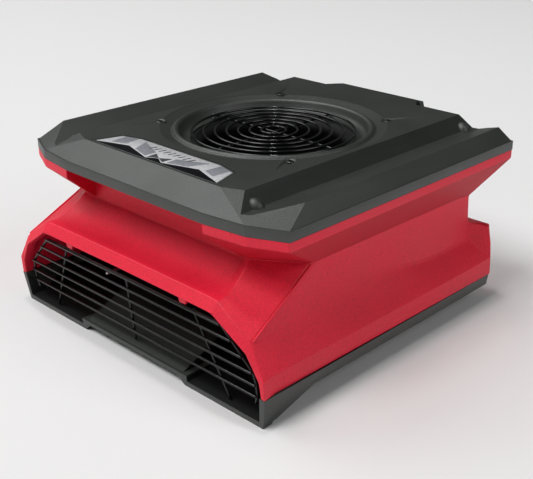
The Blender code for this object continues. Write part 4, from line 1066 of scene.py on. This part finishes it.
def inset_outline(outline, amount):
    """An outline moved inwards by an amount on every side."""
    count = len(outline)
    moved = []
    for index in range(count):
        before = Vector(outline[index - 1])
        here = Vector(outline[index])
        after = Vector(outline[(index + 1) % count])
        first = (here - before).normalized()
        second = (after - here).normalized()
        normal = Vector((first.y, -first.x)) + Vector((second.y, -second.x))
        normal.normalize()
        scale = amount / max(0.2, normal.dot(Vector((first.y, -first.x))))
        moved.append(here + normal * scale)
    return [(spot.x, spot.y) for spot in moved]


def make_badge():
    """A black badge with a folded silver band, shaded facets, plain bars and a fine border."""
    low = TOP_Z - 0.6
    plate = flat_piece("badge_plate", LABEL, low, TOP_Z - 0.34, BADGE_BLACK)
    settle(plate, "housing", "label_silver", "label_plate")
    line = prism("badge_line", inset_outline(LABEL, 0.9), "Z", TOP_Z - 0.4, TOP_Z - 0.28, BADGE_LINE)
    cut(line, prism("badge_line_inside", inset_outline(LABEL, 1.5), "Z", TOP_Z - 1.0, TOP_Z + 1.0))
    settle(line, "housing", "label_silver")
    upper = [(90.6, 73.6), (64.0, 80.6)]
    lower = [(13.0, 43.5), (58.0, 57.0), (100.4, 42.8)]
    outline = upper + [(-x, y) for x, y in reversed(upper)]
    outline += [(-x, y) for x, y in reversed(lower)] + [(0.0, 51.0)] + lower
    band = flat_piece("badge_band", outline, TOP_Z - 0.4, TOP_Z - 0.24, BADGE_LIGHT)
    settle(band, "housing", "label_silver")
    facets = [[(86.0, 74.4), (67.6, 79.2), (65.5, 58.6), (84.5, 52.0)],
              [(54.0, 77.6), (17.0, 62.0), (17.5, 46.4), (44.0, 54.6)],
              [(0.0, 51.6), (13.5, 60.0), (13.0, 45.2)]]
    for index, facet in enumerate(facets):
        for side, end in ((1, "right"), (-1, "left")):
            piece = flat_piece("badge_facet_%d_%s" % (index, end), [(side * x, y) for x, y in facet],
                               TOP_Z - 0.3, TOP_Z - 0.2, BADGE_DEEP if index == 2 else BADGE_MID)
            settle(piece, "housing", "label_silver")
    bars = bmesh.new()
    bar = [(-2.6, 66.0), (-0.4, 66.0), (2.6, 74.4), (0.4, 74.4)]
    for shift in range(-32, 33, 8):
        face = bars.faces.new([bars.verts.new(at(x + shift, y, TOP_Z - 0.26)) for x, y in bar])
        push_out(bars, face, (0.0, 0.0, 0.06 * MM))
    settle(made("badge_bars", bars, BADGE_BLACK), "housing", "label_silver")


# ---------- stage

WORLD_LIGHT = 0.07
FLOOR_HALF = 14.0  # metres from the floor's middle to its edge
AIM_HEIGHT = 0.11  # metres above the floor, where every lamp points
CAMERA_ANGLES = (44.80, 23.48, -0.38)  # degrees to the right of the front, down, and roll
CAMERA_PLACE = (771.1, -562.9, 550.4)
FOCAL_LENGTH = 65.29
SENSOR_WIDTH = 36.0


def make_stage():
    world = bpy.data.worlds.new("studio")
    bpy.context.scene.world = world
    world.use_nodes = True
    background = world.node_tree.nodes["Background"]
    background.inputs["Color"].default_value = (1.0, 1.0, 1.0, 1.0)
    background.inputs["Strength"].default_value = WORLD_LIGHT
    bm = bmesh.new()
    bmesh.ops.create_grid(bm, x_segments=1, y_segments=1, size=FLOOR_HALF)
    floor = made("floor", bm, floor_material(), recalculate=False)
    add_softbox("left_softbox", (-0.66, -0.18, 0.70), 10.0, 7.6, 2.2)
    add_softbox("front_softbox", (-0.10, -0.52, 0.85), 10.0, 4.4, 8.6)
    add_softbox("low_fill", (-0.20, -0.95, 0.22), 10.0, 6.0, 0.6)
    add_softbox("right_softbox", (0.80, 0.20, 0.56), 10.0, 6.0, 2.0)
    add_softbox("top_lamp", (-0.02, 0.02, 1.00), 6.0, 0.5, 68.0)


def floor_material():
    material, _, shader, _ = shader_of("floor_paint", (0.84, 0.84, 0.84), 0.9)
    shader.inputs["Specular IOR Level"].default_value = 0.1
    return material


def add_softbox(name, direction, distance, size, radiance):
    """A square softbox of a given brightness, aimed at the object from a direction."""
    light = bpy.data.lights.new(name, "AREA")
    light.size = size
    light.energy = radiance * math.pi * size * size
    obj = bpy.data.objects.new(name, light)
    away = Vector(direction).normalized()
    obj.location = away * distance + Vector((0.0, 0.0, AIM_HEIGHT))
    obj.rotation_euler = away.to_track_quat("Z", "Y").to_euler()
    bpy.context.scene.collection.objects.link(obj)


def make_camera():
    """The photograph's view: from the front right, a little above."""
    azimuth, elevation, roll = (math.radians(angle) for angle in CAMERA_ANGLES)
    back = Vector((math.sin(azimuth) * math.cos(elevation), -math.cos(azimuth) * math.cos(elevation),
                   math.sin(elevation)))
    right = Vector((0.0, 0.0, 1.0)).cross(back).normalized()
    up = back.cross(right)
    across = math.cos(roll) * right + math.sin(roll) * up
    upward = -math.sin(roll) * right + math.cos(roll) * up
    camera = bpy.data.objects.new("camera", bpy.data.cameras.new("camera"))
    camera.data.sensor_width = SENSOR_WIDTH
    camera.data.lens = FOCAL_LENGTH
    camera.data.clip_start = 0.01
    matrix = Matrix((across, upward, back)).transposed().to_4x4()
    matrix.translation = at(*CAMERA_PLACE)
    camera.matrix_world = matrix
    bpy.context.scene.collection.objects.link(camera)
    bpy.context.scene.camera = camera
    bpy.context.scene.view_settings.view_transform = "Standard"


make_camera()
make_stage()
make_cover()
make_body()
make_tray()
make_outlet_grille()
make_grille_stay()
make_inlet_guard()
make_inlet_ring()
make_wheel()
make_motor()
make_screws()
make_controls()
make_badge()
